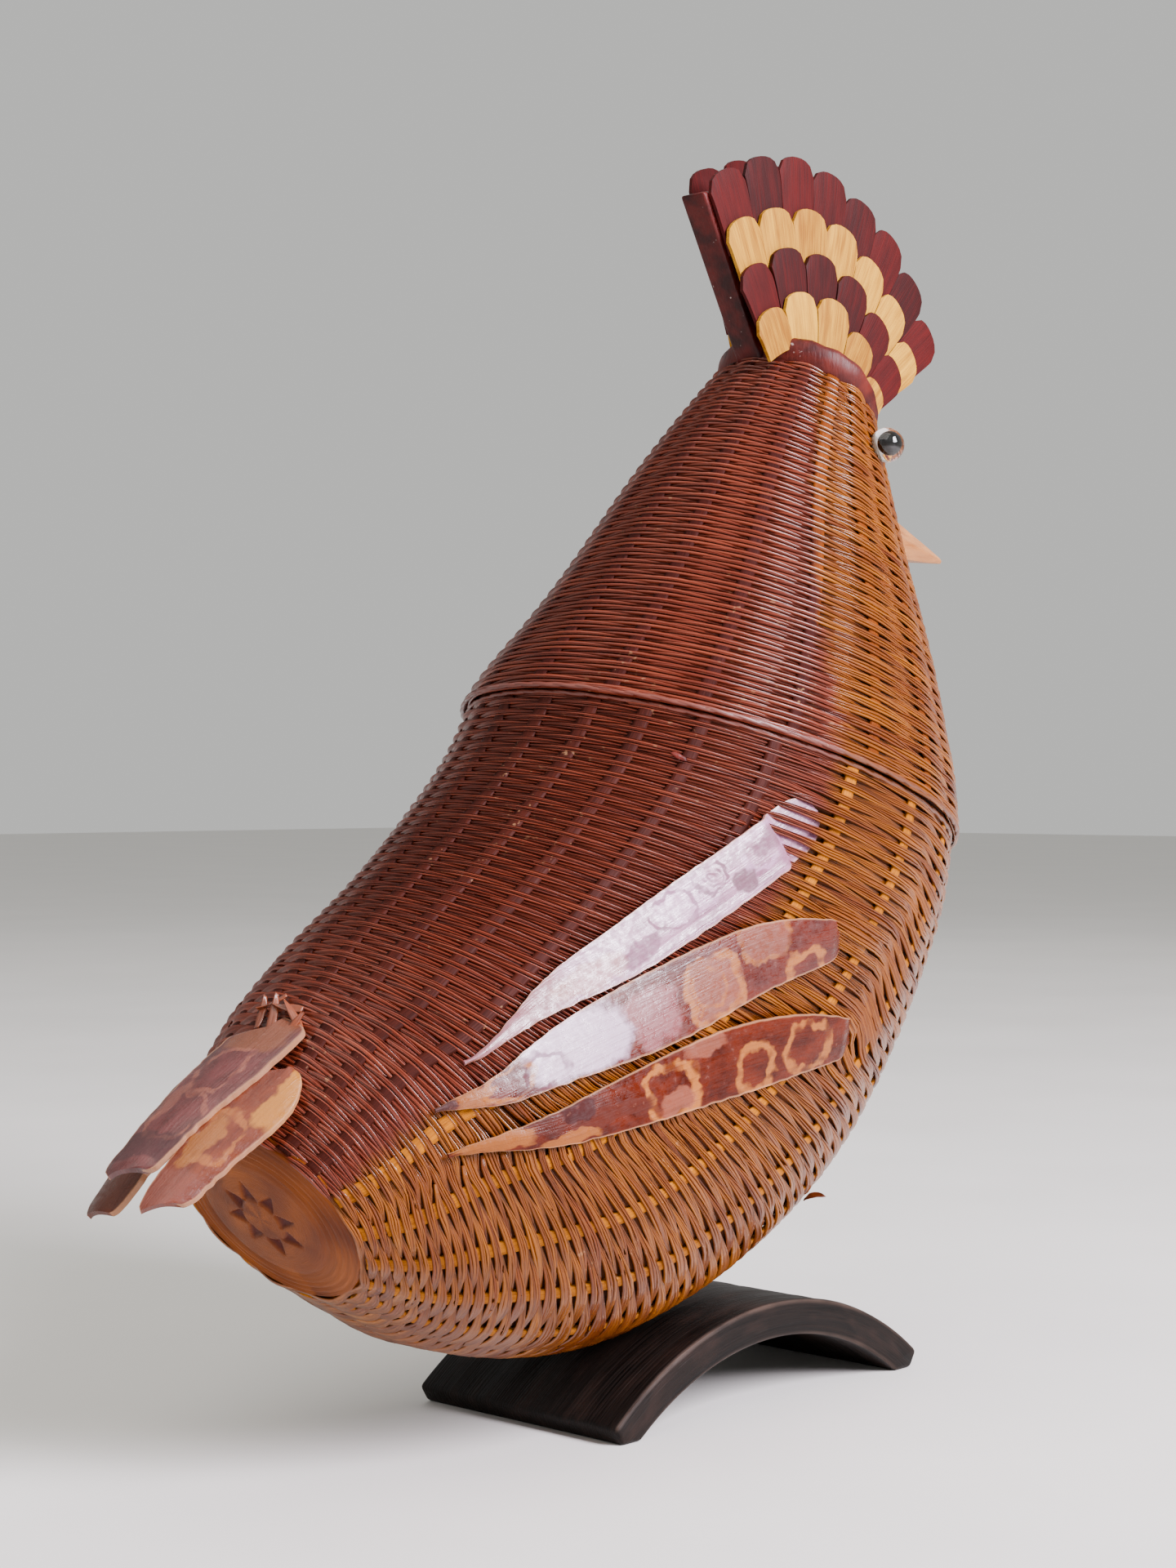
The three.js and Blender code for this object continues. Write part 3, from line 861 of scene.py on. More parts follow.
def makeBinding(name, at, offset, node):
    bm = bmesh.new()
    upright = Matrix.Rotation(math.pi / 2, 4, "X")
    for i in range(rimBinding["strands"]):
        place = Matrix.Translation((10, 0, 4 * i)) @ upright
        bmesh.ops.create_circle(bm, segments=rimBinding["sides"], radius=1, matrix=place)
    bmesh.ops.spin(
        bm, geom=bm.verts[:] + bm.edges[:], cent=(0, 0, 0), axis=(0, 0, 1),
        steps=rimBinding["steps"], angle=2 * math.pi, use_merge=True)
    bmesh.ops.recalc_face_normals(bm, faces=bm.faces)
    strand, tone, stain = newLayers(bm, "strand", "tone", "stain")
    step = perMillimetre(at)
    for vert in bm.verts:
        turn = math.atan2(vert.co.y, vert.co.x)
        number = round(vert.co.z / 4)
        up = vert.co.z - 4 * number
        out = math.hypot(vert.co.x, vert.co.y) - 10
        phase = turn * rimBinding["turns"] / 2 + number * math.pi
        out = out * rimBinding["radius"] + rimBinding["twist"] * math.cos(phase)
        up = up * rimBinding["radius"] + rimBinding["twist"] * math.sin(phase) * 1.3
        vert.co = onForm(at + up * step, turn, offset + out)
        vert[strand] = (turn * 30, up * 3, number)
        vert[tone] = 0.25
        vert[stain] = stainAt(at, signedDegrees(turn))
    makePiece(name, bm, rimMaterial, "woven_rattan", node)


# The rump: a plaited disc with a star of gaps, inside a few flat coils
rumpDisc = {
    "around": 128,
    "rings": 44,
    "coils": 6,            # ridges of the strands that go round outside the star
    "coilShare": 0.62,     # the coils fill the disc from here out
    "coilDepth": 0.16,
    "dome": 1.3,
    "radius": 16.9,
    "starShare": 0.31,
    "starMarks": 8,
    "markLength": 3.0,
    "markWidth": 2.6,
    "markDepth": 0.5,
}


def makeRumpDisc():
    middleSpot = (onForm(0, 0) + onForm(0, math.pi)) / 2
    rearward = -(onForm(0, 0, 0, 1) - onForm(0, 0)).normalized()
    bm = bmesh.new()
    loops = []
    for i in range(rumpDisc["rings"] + 1):
        share = blend(1.0, 0.02, i / rumpDisc["rings"])
        made = bmesh.ops.create_circle(bm, segments=rumpDisc["around"], radius=share)["verts"]
        loops.append(list({e for v in made for e in v.link_edges}))
    for a, b in zip(loops, loops[1:]):
        bmesh.ops.bridge_loops(bm, edges=a + b)
    bmesh.ops.holes_fill(bm, edges=loops[-1], sides=rumpDisc["around"])
    strand, tone, dark, down = newLayers(bm, "strand", "tone", "dark", "down")
    wanders = [noise.noise(Vector((k * 3.7, 1, 5))) for k in range(rumpDisc["starMarks"])]
    for vert in bm.verts:
        share = math.hypot(vert.co.x, vert.co.y)
        turn = math.atan2(vert.co.y, vert.co.x)
        coil = smooth((share - rumpDisc["coilShare"]) / 0.05)
        wave = math.cos(2 * math.pi * rumpDisc["coils"] * (share - 1) / (1 - rumpDisc["coilShare"]))
        height = rumpDisc["dome"] * (1 - share ** 2) - coil * rumpDisc["coilDepth"] * (1 - wave)
        height -= 0.9 * smooth((share - 0.93) / 0.07) ** 2
        radius = share * rumpDisc["radius"]
        mark = 0.0
        for k in range(rumpDisc["starMarks"]):
            angle = 2 * math.pi * (k + 0.3 * wanders[k]) / rumpDisc["starMarks"]
            away = (turn - angle + math.pi) % (2 * math.pi) - math.pi
            across = away * radius
            along = radius - rumpDisc["starShare"] * rumpDisc["radius"] - wanders[k] * 2
            taper = 0.5 - along / rumpDisc["markLength"]
            inside = min(taper * rumpDisc["markWidth"] / 2 - abs(across), rumpDisc["markLength"] / 2 + along)
            mark = max(mark, smooth(inside / 0.5 + 0.5) if taper > 0 else 0.0)
        height -= mark * rumpDisc["markDepth"]
        rim = onForm(0, turn, -0.35)
        vert.co = middleSpot + (rim - middleSpot) * share + rearward * height * mm
        vert[strand] = (turn * 24, share * 26, 2.0)
        vert[tone] = 0.3 + 0.4 * noise.noise(Vector((turn * 1.4, share * 3, 0)))
        # the star's gaps are coloured near-black: painted shade in them
        vert[dark] = mark
        vert[down] = rearward * -0.9 * mm
    thicken(bm, down)
    makePiece("rump_disc", bm, discMaterial, "woven_rattan", "basket_body")


# The head cap: the gathered rib ends, lacquered over
headCap = {
    "around": 72, "rings": 20, "rise": 3.6, "ribs": 18, "ribDepth": 0.16,
    "edge": (0.8, 3.4),    # the rim's height at the front and at the rear
}


def makeHeadCap():
    crown = birdForm["crown"]
    half = birdForm["sections"][-1][3]
    rings = [lambda turn: onForm(crown, turn, -0.9, -0.8)]

    def ringAt(share):
        def ring(turn):
            ribs = headCap["ribDepth"] * math.cos(turn * headCap["ribs"]) * (1 - share)
            height = blend(*headCap["edge"], smooth(math.cos(turn) + 0.6))
            height += headCap["rise"] * math.sqrt(max(0.0, 1 - (1 - share) ** 2))
            return onForm(crown, turn, -half * share * 0.97 - 0.1, height + ribs)
        return ring

    for i in range(headCap["rings"] + 1):
        rings.append(ringAt((i / headCap["rings"]) ** 1.6))
    bm = loftRings(rings, headCap["around"], True, True)
    strand = bm.verts.layers.float_vector.new("strand")
    for vert in bm.verts:
        vert[strand] = vert.co / mm
    makePiece("head_cap", bm, capMaterial, "red_lacquer", "head_lid")


def finishStrip(name, bm, down, material, slotName, node, sharp=40):
    thicken(bm, down)
    piece = makePiece(name, bm, material, slotName, node)
    piece.data.set_sharp_from_angle(angle=math.radians(sharp))
    return piece


def leafShare(u, strip):
    rear = min(1.0, u / strip["point"])
    front = min(1.0, (1 - u) / strip["blunt"])
    return math.sin(rear * math.pi / 2) ** strip["taper"] * math.sqrt(max(0.0, 1 - (1 - front) ** 2))


def makeWingStrip(name, side):
    strip = wingStrips[name]
    side = -1 if side == "right" else 1

    def track(u):
        at, degrees = curveThrough(strip["path"], u)
        return onForm(at, math.radians(degrees) * side), formNormal(at, math.radians(degrees) * side)

    stations = stripShape["lengthSteps"]
    frames = []
    travelled = 0.0
    for i in range(stations + 1):
        u = i / stations
        spot, normal = track(u)
        ahead = track(min(1.0, u + 0.02))[0] - track(max(0.0, u - 0.02))[0]
        across = normal.cross(ahead).normalized() * side
        if frames:
            travelled += (spot - frames[-1][0]).length / mm
        half = strip["width"] / 2 * leafShare(u, strip) + stripShape["end"] / 2
        frames.append((spot, normal, across, half, travelled))
    bm = bmesh.new()
    bmesh.ops.create_grid(bm, x_segments=stripShape["widthSteps"], y_segments=stations, size=0.5)
    place, down = newLayers(bm, "place", "down")
    print("strip", name, "is", round(travelled, 1), "long")
    for vert in bm.verts:
        index = round((vert.co.y + 0.5) * stations)
        w = vert.co.x * 2
        spot, normal, across, half, along = frames[index]
        at = curveThrough(strip["path"], index / stations)[0]
        ripple = 0.1 * noise.noise(Vector((along * 0.16, w * 0.8, len(name))))
        height = stripShape["bed"] + stripShape["thickness"] + stripShape["crowned"] * (1 - w * w) + ripple
        if name == "upper" and side < 0:
            height -= 0.22 * math.exp(-((w * half - 2.4) / 0.35) ** 2) * smooth((along - 30) / 6)
        height -= stripShape["dip"] * smooth((at - strip["cut"] + 0.07) / 0.07)
        ragged = 0.16 * noise.noise(Vector((along * 0.5, w, 7.0))) * abs(w)
        vert.co = spot + normal * height * mm + across * w * (half + ragged) * mm
        vert[place] = (along, -w * half, w)
        vert[down] = normal * -stripShape["thickness"] * mm
    sided = name + ("_right" if side < 0 else "_left")
    finishStrip("wing_strip_" + sided, bm, down, wingMaterials[name], "stained_bamboo", "wing_" + sided)


# Bamboo strips of the tail: path in millimetres, the roll in degrees, widths at the root and at the end
tailStrips = {
    "tail_centre": {
        "y": -2.6, "splay": 2.4, "roll": 8, "wide": (10.6, 10.4, 7.0), "blunt": 0.05, "root": 0.06,
        "skew": (2.4, 1.2), "lift": 0.5,
        "path": ((-79.4, 62.6), (-87.2, 57.2), (-94.8, 51.8), (-102.4, 45.2)),
    },
    "tail_right": {
        "y": -8.6, "splay": 1.2, "roll": 26, "wide": (8.4, 9.6, 5.6), "blunt": 0.1, "root": 0.3,
        "skew": (0.8, 1.6), "lift": 0.0,
        "path": ((-82.4, 58.0), (-88.6, 53.4), (-95.8, 48.0), (-103.0, 42.0)),
    },
    "tail_left": {
        "y": 7.0, "splay": 0.4, "roll": -6, "wide": (7.6, 8.6, 7.6), "blunt": 0.2, "root": 0.3,
        "skew": (0, 0.4), "lift": -0.6,
        "path": ((-81.4, 59.2), (-87.8, 53.6), (-94.6, 47.0), (-101.6, 39.6)),
    },
}
tailShape = {"thickness": 0.8, "crowned": 0.7, "lengthSteps": 80, "widthSteps": 14}


def makeTailStrip(name):
    strip = tailStrips[name]
    stations = tailShape["lengthSteps"]
    roll = math.radians(-strip["roll"])
    frames = []
    travelled = 0.0
    for i in range(stations + 1):
        u = i / stations
        x, z = curveThrough(strip["path"], u)
        before = curveThrough(strip["path"], max(0.0, u - 0.02))
        after = curveThrough(strip["path"], min(1.0, u + 0.02))
        along = Vector((after[0] - before[0], 0, after[1] - before[1])).normalized()
        turn = Matrix.Rotation(roll, 3, along)
        across = turn @ Vector((0, 1, 0))
        top = turn @ Vector((along.z, 0, -along.x))
        spot = Vector((x, strip["y"] + strip["splay"] * u, z))
        if frames:
            travelled += (spot - frames[-1][0]).length
        root = min(1.0, u / strip["root"])
        tip = min(1.0, (1 - u) / strip["blunt"])
        first, broad, last = strip["wide"]
        half = blend(first, broad, smooth(u / 0.3)) if u < 0.3 else blend(broad, last, (u - 0.3) / 0.7)
        half *= 0.5 * math.sqrt(max(0.0, 1 - (1 - root) ** 2)) ** 0.8
        half *= blend(0.6, 1, math.sqrt(max(0.0, 1 - (1 - tip) ** 2)))
        frames.append((spot, top, across, half + 0.12, travelled, along))
    bm = bmesh.new()
    bmesh.ops.create_grid(bm, x_segments=tailShape["widthSteps"], y_segments=stations, size=0.5)
    place, down = newLayers(bm, "place", "down")
    for vert in bm.verts:
        index = round((vert.co.y + 0.5) * stations)
        w = vert.co.x * 2
        spot, top, across, half, travelled, along = frames[index]
        u = index / stations
        height = tailShape["thickness"] + tailShape["crowned"] * (1 - w * w) + strip["lift"]
        height += 0.16 * noise.noise(Vector((travelled * 0.2, w, len(name))))
        ragged = 0.22 * noise.noise(Vector((travelled * 0.7, w * 0.6, 3.0))) * abs(w)
        # both ends are cut slanting
        slant = w * (strip["skew"][1] * u ** 6 + strip["skew"][0] * (1 - u) ** 6)
        point = spot + top * height + across * w * (half + ragged) + along * slant
        vert.co = point * mm + flatShift
        vert[place] = (travelled, w * half, w)
        vert[down] = top * -tailShape["thickness"] * mm
    finishStrip("strip_" + name, bm, down, tailMaterials[name], "stained_bamboo", name)


# The crest: a dark wedge with four rows of bamboo scales on each side
crest = {
    "pivot": (34.5, 150.4),
    "to": 60,              # degrees from upright, forward is positive
    "core": 5,
    "coreRadius": 37,
    "base": 15.5,
    "foot": 12.4,          # the wedge and the last scales go down into the cap
    "rearRise": 7.4,       # the rearmost of the last scales end higher, on the cap's slope
    "rearFrom": -8,
    "tipRise": 10.2,
    "gap": 0.35,
    "thickness": 0.7,
    "rounding": 3,
    "lap": 5,
    "rows": ((41.5, 8, "red", 0), (33.3, 7, "straw", 1.4), (26.2, 6, "red", 4), (19, 5, "straw", 7.7)),
    "lengthSteps": 12,
    "widthSteps": 8,
    "camber": 0.14,
    "between": 0.1,        # from one scale to the next
    "scalesFrom": (-28.8, -25),    # where they begin, on the right and on the left
    "barFrom": -29.6,      # how far the wedge reaches to the rear
    "barRadius": 40.3,
    "seed": 5,
}


def crestSpot(radius, degrees, y):
    x, z = crest["pivot"]
    angle = math.radians(degrees)
    return Vector((x + radius * math.sin(angle), y, z + radius * math.cos(angle))) * mm + flatShift


def tipDistance(radius, degrees):
    along = crest["tipRise"] * math.cos(math.radians(degrees))
    return along + math.sqrt(radius ** 2 - crest["tipRise"] ** 2 + along ** 2)


def makeScaleRow(number, side):
    radius, count, finish, fanned = crest["rows"][number]
    begin = crest["scalesFrom"][0] - fanned if side < 0 else crest["scalesFrom"][1] + fanned
    half = (crest["to"] - begin) / count / 2
    inner = number + 1 < len(crest["rows"])
    near = crest["core"] / 2 + crest["gap"] + number * (crest["thickness"] + crest["gap"])
    draw = random.Random(crest["seed"] + number + (10 if side > 0 else 0))
    bm = bmesh.new()
    strand, tone, down = newLayers(bm, "strand", "tone", "down")
    for i in range(count):
        centre = begin + half * (2 * i + 1)
        tip = tipDistance(radius, centre) + draw.uniform(-0.35, 0.3)
        foot = crest["foot"] + crest["rearRise"] * smooth((crest["rearFrom"] - centre) / 12)
        start = tipDistance(crest["rows"][number + 1][0], centre) - crest["lap"] if inner else foot
        lean = draw.uniform(-0.5, 0.5)
        shade = draw.random()
        tilt = draw.uniform(-0.1, 0.1)
        made = bmesh.ops.create_grid(
            bm, x_segments=crest["widthSteps"], y_segments=crest["lengthSteps"], size=0.5)
        for vert in made["verts"]:
            w = vert.co.x * 2
            share = vert.co.y + 0.5
            drop = crest["rounding"] * (1 - (1 - 0.99 * abs(w) ** 2.5) ** 0.5)
            reach = blend(start, tip - drop, share ** 0.8)
            edge = half - math.degrees(crest["between"] / 2 / reach)
            turn = centre + w * edge + lean * share
            height = near + crest["thickness"] + crest["camber"] * (1 - w * w) * (0.4 + 0.6 * share)
            height += tilt * w - 0.25 * share ** 6
            vert.co = crestSpot(reach, turn, side * height)
            vert[down] = Vector((0, -side * 0.6 * mm, 0))
            vert[strand] = (reach + i * 40, w * half / 57 * reach, number)
            vert[tone] = shade
    name = str(number + 1) + ("_left" if side > 0 else "_right")
    finishStrip(
        "crest_leaves_" + name, bm, down, leafMaterials[finish],
        finish if finish == "straw" else "red_lacquer", "crest_scales_" + name, 30)


def makeCrestCore():
    low = crest["barFrom"]
    high = crest["to"] - 1
    rings = 40
    bm = bmesh.new()
    bmesh.ops.create_grid(bm, x_segments=10, y_segments=rings, size=0.5)
    down = bm.verts.layers.float_vector.new("down")
    for vert in bm.verts:
        turn = blend(low, high, vert.co.y + 0.5)
        outside = tipDistance(blend(crest["barRadius"], crest["coreRadius"], smooth((turn - low) / 7)), turn)
        inside = (crest["base"] - 1.5) / math.cos(math.radians(turn - 13))
        vert.co = crestSpot(blend(inside, outside, vert.co.x + 0.5), turn, crest["core"] / 2)
        vert[down] = Vector((0, -crest["core"] * mm, 0))
    thicken(bm, down)
    sharp = [e for e in bm.edges if e.calc_face_angle(0) > 0.7]
    bmesh.ops.bevel(
        bm, geom=sharp, offset=0.5 * mm, affect="EDGES", segments=3, profile=0.5, material=-1)
    strand = bm.verts.layers.float_vector.new("strand")
    for vert in bm.verts:
        vert[strand] = vert.co / mm
    piece = makePiece("crest_wedge", bm, coreMaterial, "red_lacquer", "crest_core")
    piece.data.set_sharp_from_angle(angle=math.radians(50))


# Glass eyes: a clear ball with a black bead in it, in a pale cup
eye = {"at": 7.65, "turn": 103, "proud": 1.4, "glass": 2.9, "bead": 1.4, "cup": 2.75}


def roundBall(radius, centre, axis=Vector((0, 0, 1))):
    bm = bmesh.new()
    place = Matrix.Translation(centre) @ axis.to_track_quat("Z", "Y").to_matrix().to_4x4()
    bmesh.ops.create_uvsphere(bm, u_segments=40, v_segments=24, radius=radius * mm, matrix=place)
    return bm


def makeEye(side):
    name = "left" if side > 0 else "right"
    turn = math.radians(eye["turn"]) * side
    normal = formNormal(eye["at"], turn)
    centre = onForm(eye["at"], turn) + normal * eye["proud"] * mm
    bead = centre + normal * 0.35 * mm + Vector((0, 0, 0.12 * mm))
    for part, middle, material in (("glass", centre, glassMaterial), ("bead", bead, beadMaterial)):
        makePiece("eye_" + part + "_" + name, roundBall(eye[part], middle), material, "eye_glass", "eye_" + name)
    bm = roundBall(eye["cup"], centre, -normal)
    outer = [v for v in bm.verts if (v.co - centre).dot(-normal) < 0.9 * mm]
    bmesh.ops.delete(bm, geom=outer, context="VERTS")
    down = bm.verts.layers.float_vector.new("down")
    for vert in bm.verts:
        vert[down] = (centre - vert.co) * 0.1
    thicken(bm, down)
    makePiece("eye_cup_" + name, bm, cupMaterial, "eye_glass", "eye_" + name)


# The beak: a carved wedge with a ridge, a keel line on each side and a flat underside
beak = {
    "root": 48.6, "tip": 79.4, "floor": 136.5, "tipZ": 137.6, "height": 13.2, "halfWidth": 5.2,
    "rings": 60, "around": 40, "soften": 0.3,
}


def beakCorners(share):
    height = beak["height"] * (1 - share ** 1.25) + 1.1 * share
    floorZ = blend(beak["floor"], beak["tipZ"] - 0.6, share ** 3)
    half = beak["halfWidth"] * (1 - share) ** 0.8 + 0.5 * share
    edge = floorZ + height * 0.42
    return ((0, floorZ + height), (half, edge), (half * 0.55, floorZ), (-half * 0.55, floorZ), (-half, edge))


def beakRing(share):
    corners = beakCorners(share)
    x = blend(beak["root"], beak["tip"], share)
    middleZ = (corners[0][1] + corners[2][1]) / 2
    half = corners[1][0]
    height = (corners[0][1] - corners[2][1]) / 2

    def ring(turn):
        direction = Vector((math.cos(turn), math.sin(turn)))
        best = 1e9
        for a, b in zip(corners, corners[1:] + corners[:1]):
            p = Vector((a[0], a[1] - middleZ))
            q = Vector((b[0], b[1] - middleZ)) - p
            cross = direction.x * q.y - direction.y * q.x
            if abs(cross) > 1e-9:
                reach = (p.x * q.y - p.y * q.x) / cross
                along = (p.x * direction.y - p.y * direction.x) / cross
                if reach > 0 and -1e-6 <= along <= 1 + 1e-6:
                    best = min(best, reach)
        oval = half * height / math.hypot(height * direction.x, half * direction.y) * 0.94
        reach = min(blend(best, oval, beak["soften"]), best)
        reach *= 1 + 0.03 * noise.noise(Vector((share * 6, turn * 2, 1)))
        return Vector((x, reach * direction.x, middleZ + reach * direction.y)) * mm + flatShift
    return ring


def makeBeak():
    shares = [1 - (1 - i / beak["rings"]) ** 1.3 for i in range(beak["rings"] + 1)]
    bm = loftRings([beakRing(share) for share in shares], beak["around"], True, True)
    strand = bm.verts.layers.float_vector.new("strand")
    for vert in bm.verts:
        vert[strand] = (vert.co - flatShift) / mm
    piece = makePiece("carved_beak", bm, beakMaterial, "beak_wood", "beak")
    piece.data.set_sharp_from_angle(angle=math.radians(32))


# The stand: a piece of black bamboo wall with level feet
stand = {
    "centreX": 7.4, "centreY": 0.8, "width": 42, "crown": 15.8, "outerRadius": 59, "thickness": 5.5,
    "toe": 2.6, "toeCut": 1.6, "arcSteps": 72, "widthSteps": 26, "bevel": 0.7,
}


def makeStand():
    drop = stand["outerRadius"] - stand["crown"]
    inner = stand["outerRadius"] - stand["thickness"]
    toeEnd = math.acos((drop + stand["toe"]) / stand["outerRadius"])
    toeX = stand["outerRadius"] * math.sin(toeEnd)
    innerEnd = math.acos(drop / inner)
    steps = stand["arcSteps"]
    bm = bmesh.new()
    bmesh.ops.create_grid(bm, x_segments=steps, y_segments=1, size=0.5)
    for vert in bm.verts:
        share = vert.co.x * 2
        if vert.co.y < 0:
            angle = innerEnd * share
            x = inner * math.sin(angle)
            z = inner * math.cos(angle) - drop
        else:
            last = 1 - 2 / steps
            if abs(share) <= last + 1e-6:
                angle = toeEnd * share / last
                x = stand["outerRadius"] * math.sin(angle)
                z = stand["outerRadius"] * math.cos(angle) - drop
            else:
                x = math.copysign(toeX - stand["toeCut"], share)
                z = 0.0
        vert.co = Vector((x + stand["centreX"], stand["centreY"] - stand["width"] / 2, z)) * mm + flatShift
    made = bmesh.ops.extrude_face_region(bm, geom=bm.faces[:])["geom"]
    far = [v for v in made if isinstance(v, bmesh.types.BMVert)]
    bmesh.ops.translate(bm, verts=far, vec=(0, stand["width"] * mm, 0))
    bmesh.ops.recalc_face_normals(bm, faces=bm.faces)
    sharp = [e for e in bm.edges if e.calc_face_angle(0) > 0.45]
    bmesh.ops.bevel(
        bm, geom=sharp, offset=stand["bevel"] * mm, affect="EDGES", segments=3, profile=0.5, material=-1)
    worn, strand = newLayers(bm, "worn", "strand")
    lengthwise = [e for e in bm.edges if abs((e.verts[0].co - e.verts[1].co).y) > 30 * mm]
    bmesh.ops.subdivide_edges(bm, edges=lengthwise, cuts=stand["widthSteps"], use_grid_fill=True)
    nearEdge = (stand["width"] / 2 - stand["bevel"] * 0.9) * mm
    for vert in bm.verts:
        spot = (vert.co - flatShift) / mm
        x = spot.x - stand["centreX"]
        y = spot.y - stand["centreY"]
        radius = math.hypot(x, spot.z + drop)
        atSide = 1.0 if abs(y) * mm > nearEdge else 0.0
        atFace = min(abs(radius - stand["outerRadius"]), abs(radius - inner))
        vert[worn] = atSide * (1 - smooth(atFace / 0.7))
        vert[strand] = (math.atan2(x, spot.z + drop) * radius, y, radius)
        if atSide == 0 and radius > inner + 2:
            ridge = 0.1 * noise.noise(Vector((y * 1.6, x * 0.04, 0)))
            ridge += 0.22 * noise.noise(Vector((y * 0.25, x * 0.05, 4)))
            vert.co.z += ridge * mm * smooth(spot.z / 3)
    piece = makePiece("bamboo_stand", bm, standMaterial, "black_bamboo", "stand")
    piece.data.set_sharp_from_angle(angle=math.radians(45))


def makeMarkGroup(name, filled):
    # a brush mark round a centre, as an outline or filled in
    tree, given, result = newGroup(
        name,
        {
            "Place": "NodeSocketVector", "Along": "NodeSocketFloat", "Across": "NodeSocketFloat",
            "Length": "NodeSocketFloat", "Width": "NodeSocketFloat", "Line": "NodeSocketFloat",
        },
        {"Mask": "NodeSocketFloat"})
    w = Wiring(tree)
    parts = w.node("SeparateXYZ", {0: given["Place"]})
    cubes = []
    for axis, scale, swing, centre, size in (
            (0, (0.21, 0.23, 1), 2.4, "Along", "Length"), (1, (0.27, 0.2, 1), 2.0, "Across", "Width")):
        warp = w.ramp(w.noise(w.scaled(given["Place"], scale), 1.0, 2.0), 0.0, 1.0, -swing, swing)
        off = w.math("SUBTRACT", w.math("ADD", parts[axis], warp), given[centre])
        cubes.append(w.math("POWER", w.math("ABSOLUTE", w.math("DIVIDE", off, given[size])), 3.0))
    # between a round and a square outline
    away = w.math("POWER", w.math("ADD", *cubes), 1 / 3)
    away = w.math("ADD", away, w.ramp(w.noise(given["Place"], 1.1, 2.0), 0.0, 1.0, -0.09, 0.09))
    if filled:
        w.join(w.product(w.ramp(away, 1.12, 0.9), 1.0), result["Mask"])
    else:
        ringAway = w.math("ABSOLUTE", w.math("SUBTRACT", away, 1.0))
        line = w.ramp(w.math("DIVIDE", ringAway, given["Line"]), 1.15, 0.55)
        worn = w.ramp(w.noise(w.scaled(given["Place"], (0.3, 0.34, 1)), 1.0, 1.0), 0.36, 0.5, 0.15, 1.0)
        w.join(w.product(line, worn), result["Mask"])
    return tree


outlineMark = makeMarkGroup("outline mark", False)
filledMark = makeMarkGroup("filled mark", True)

# Strips: ground colours, then marks as along, across, length, width, line, colour, strength.
# A line of 1 fills the mark in.
tan = (0.31, 0.1, 0.02, 1)
pinkTan = (0.27, 0.085, 0.05, 1)
mauve = (0.10, 0.03, 0.05, 1)
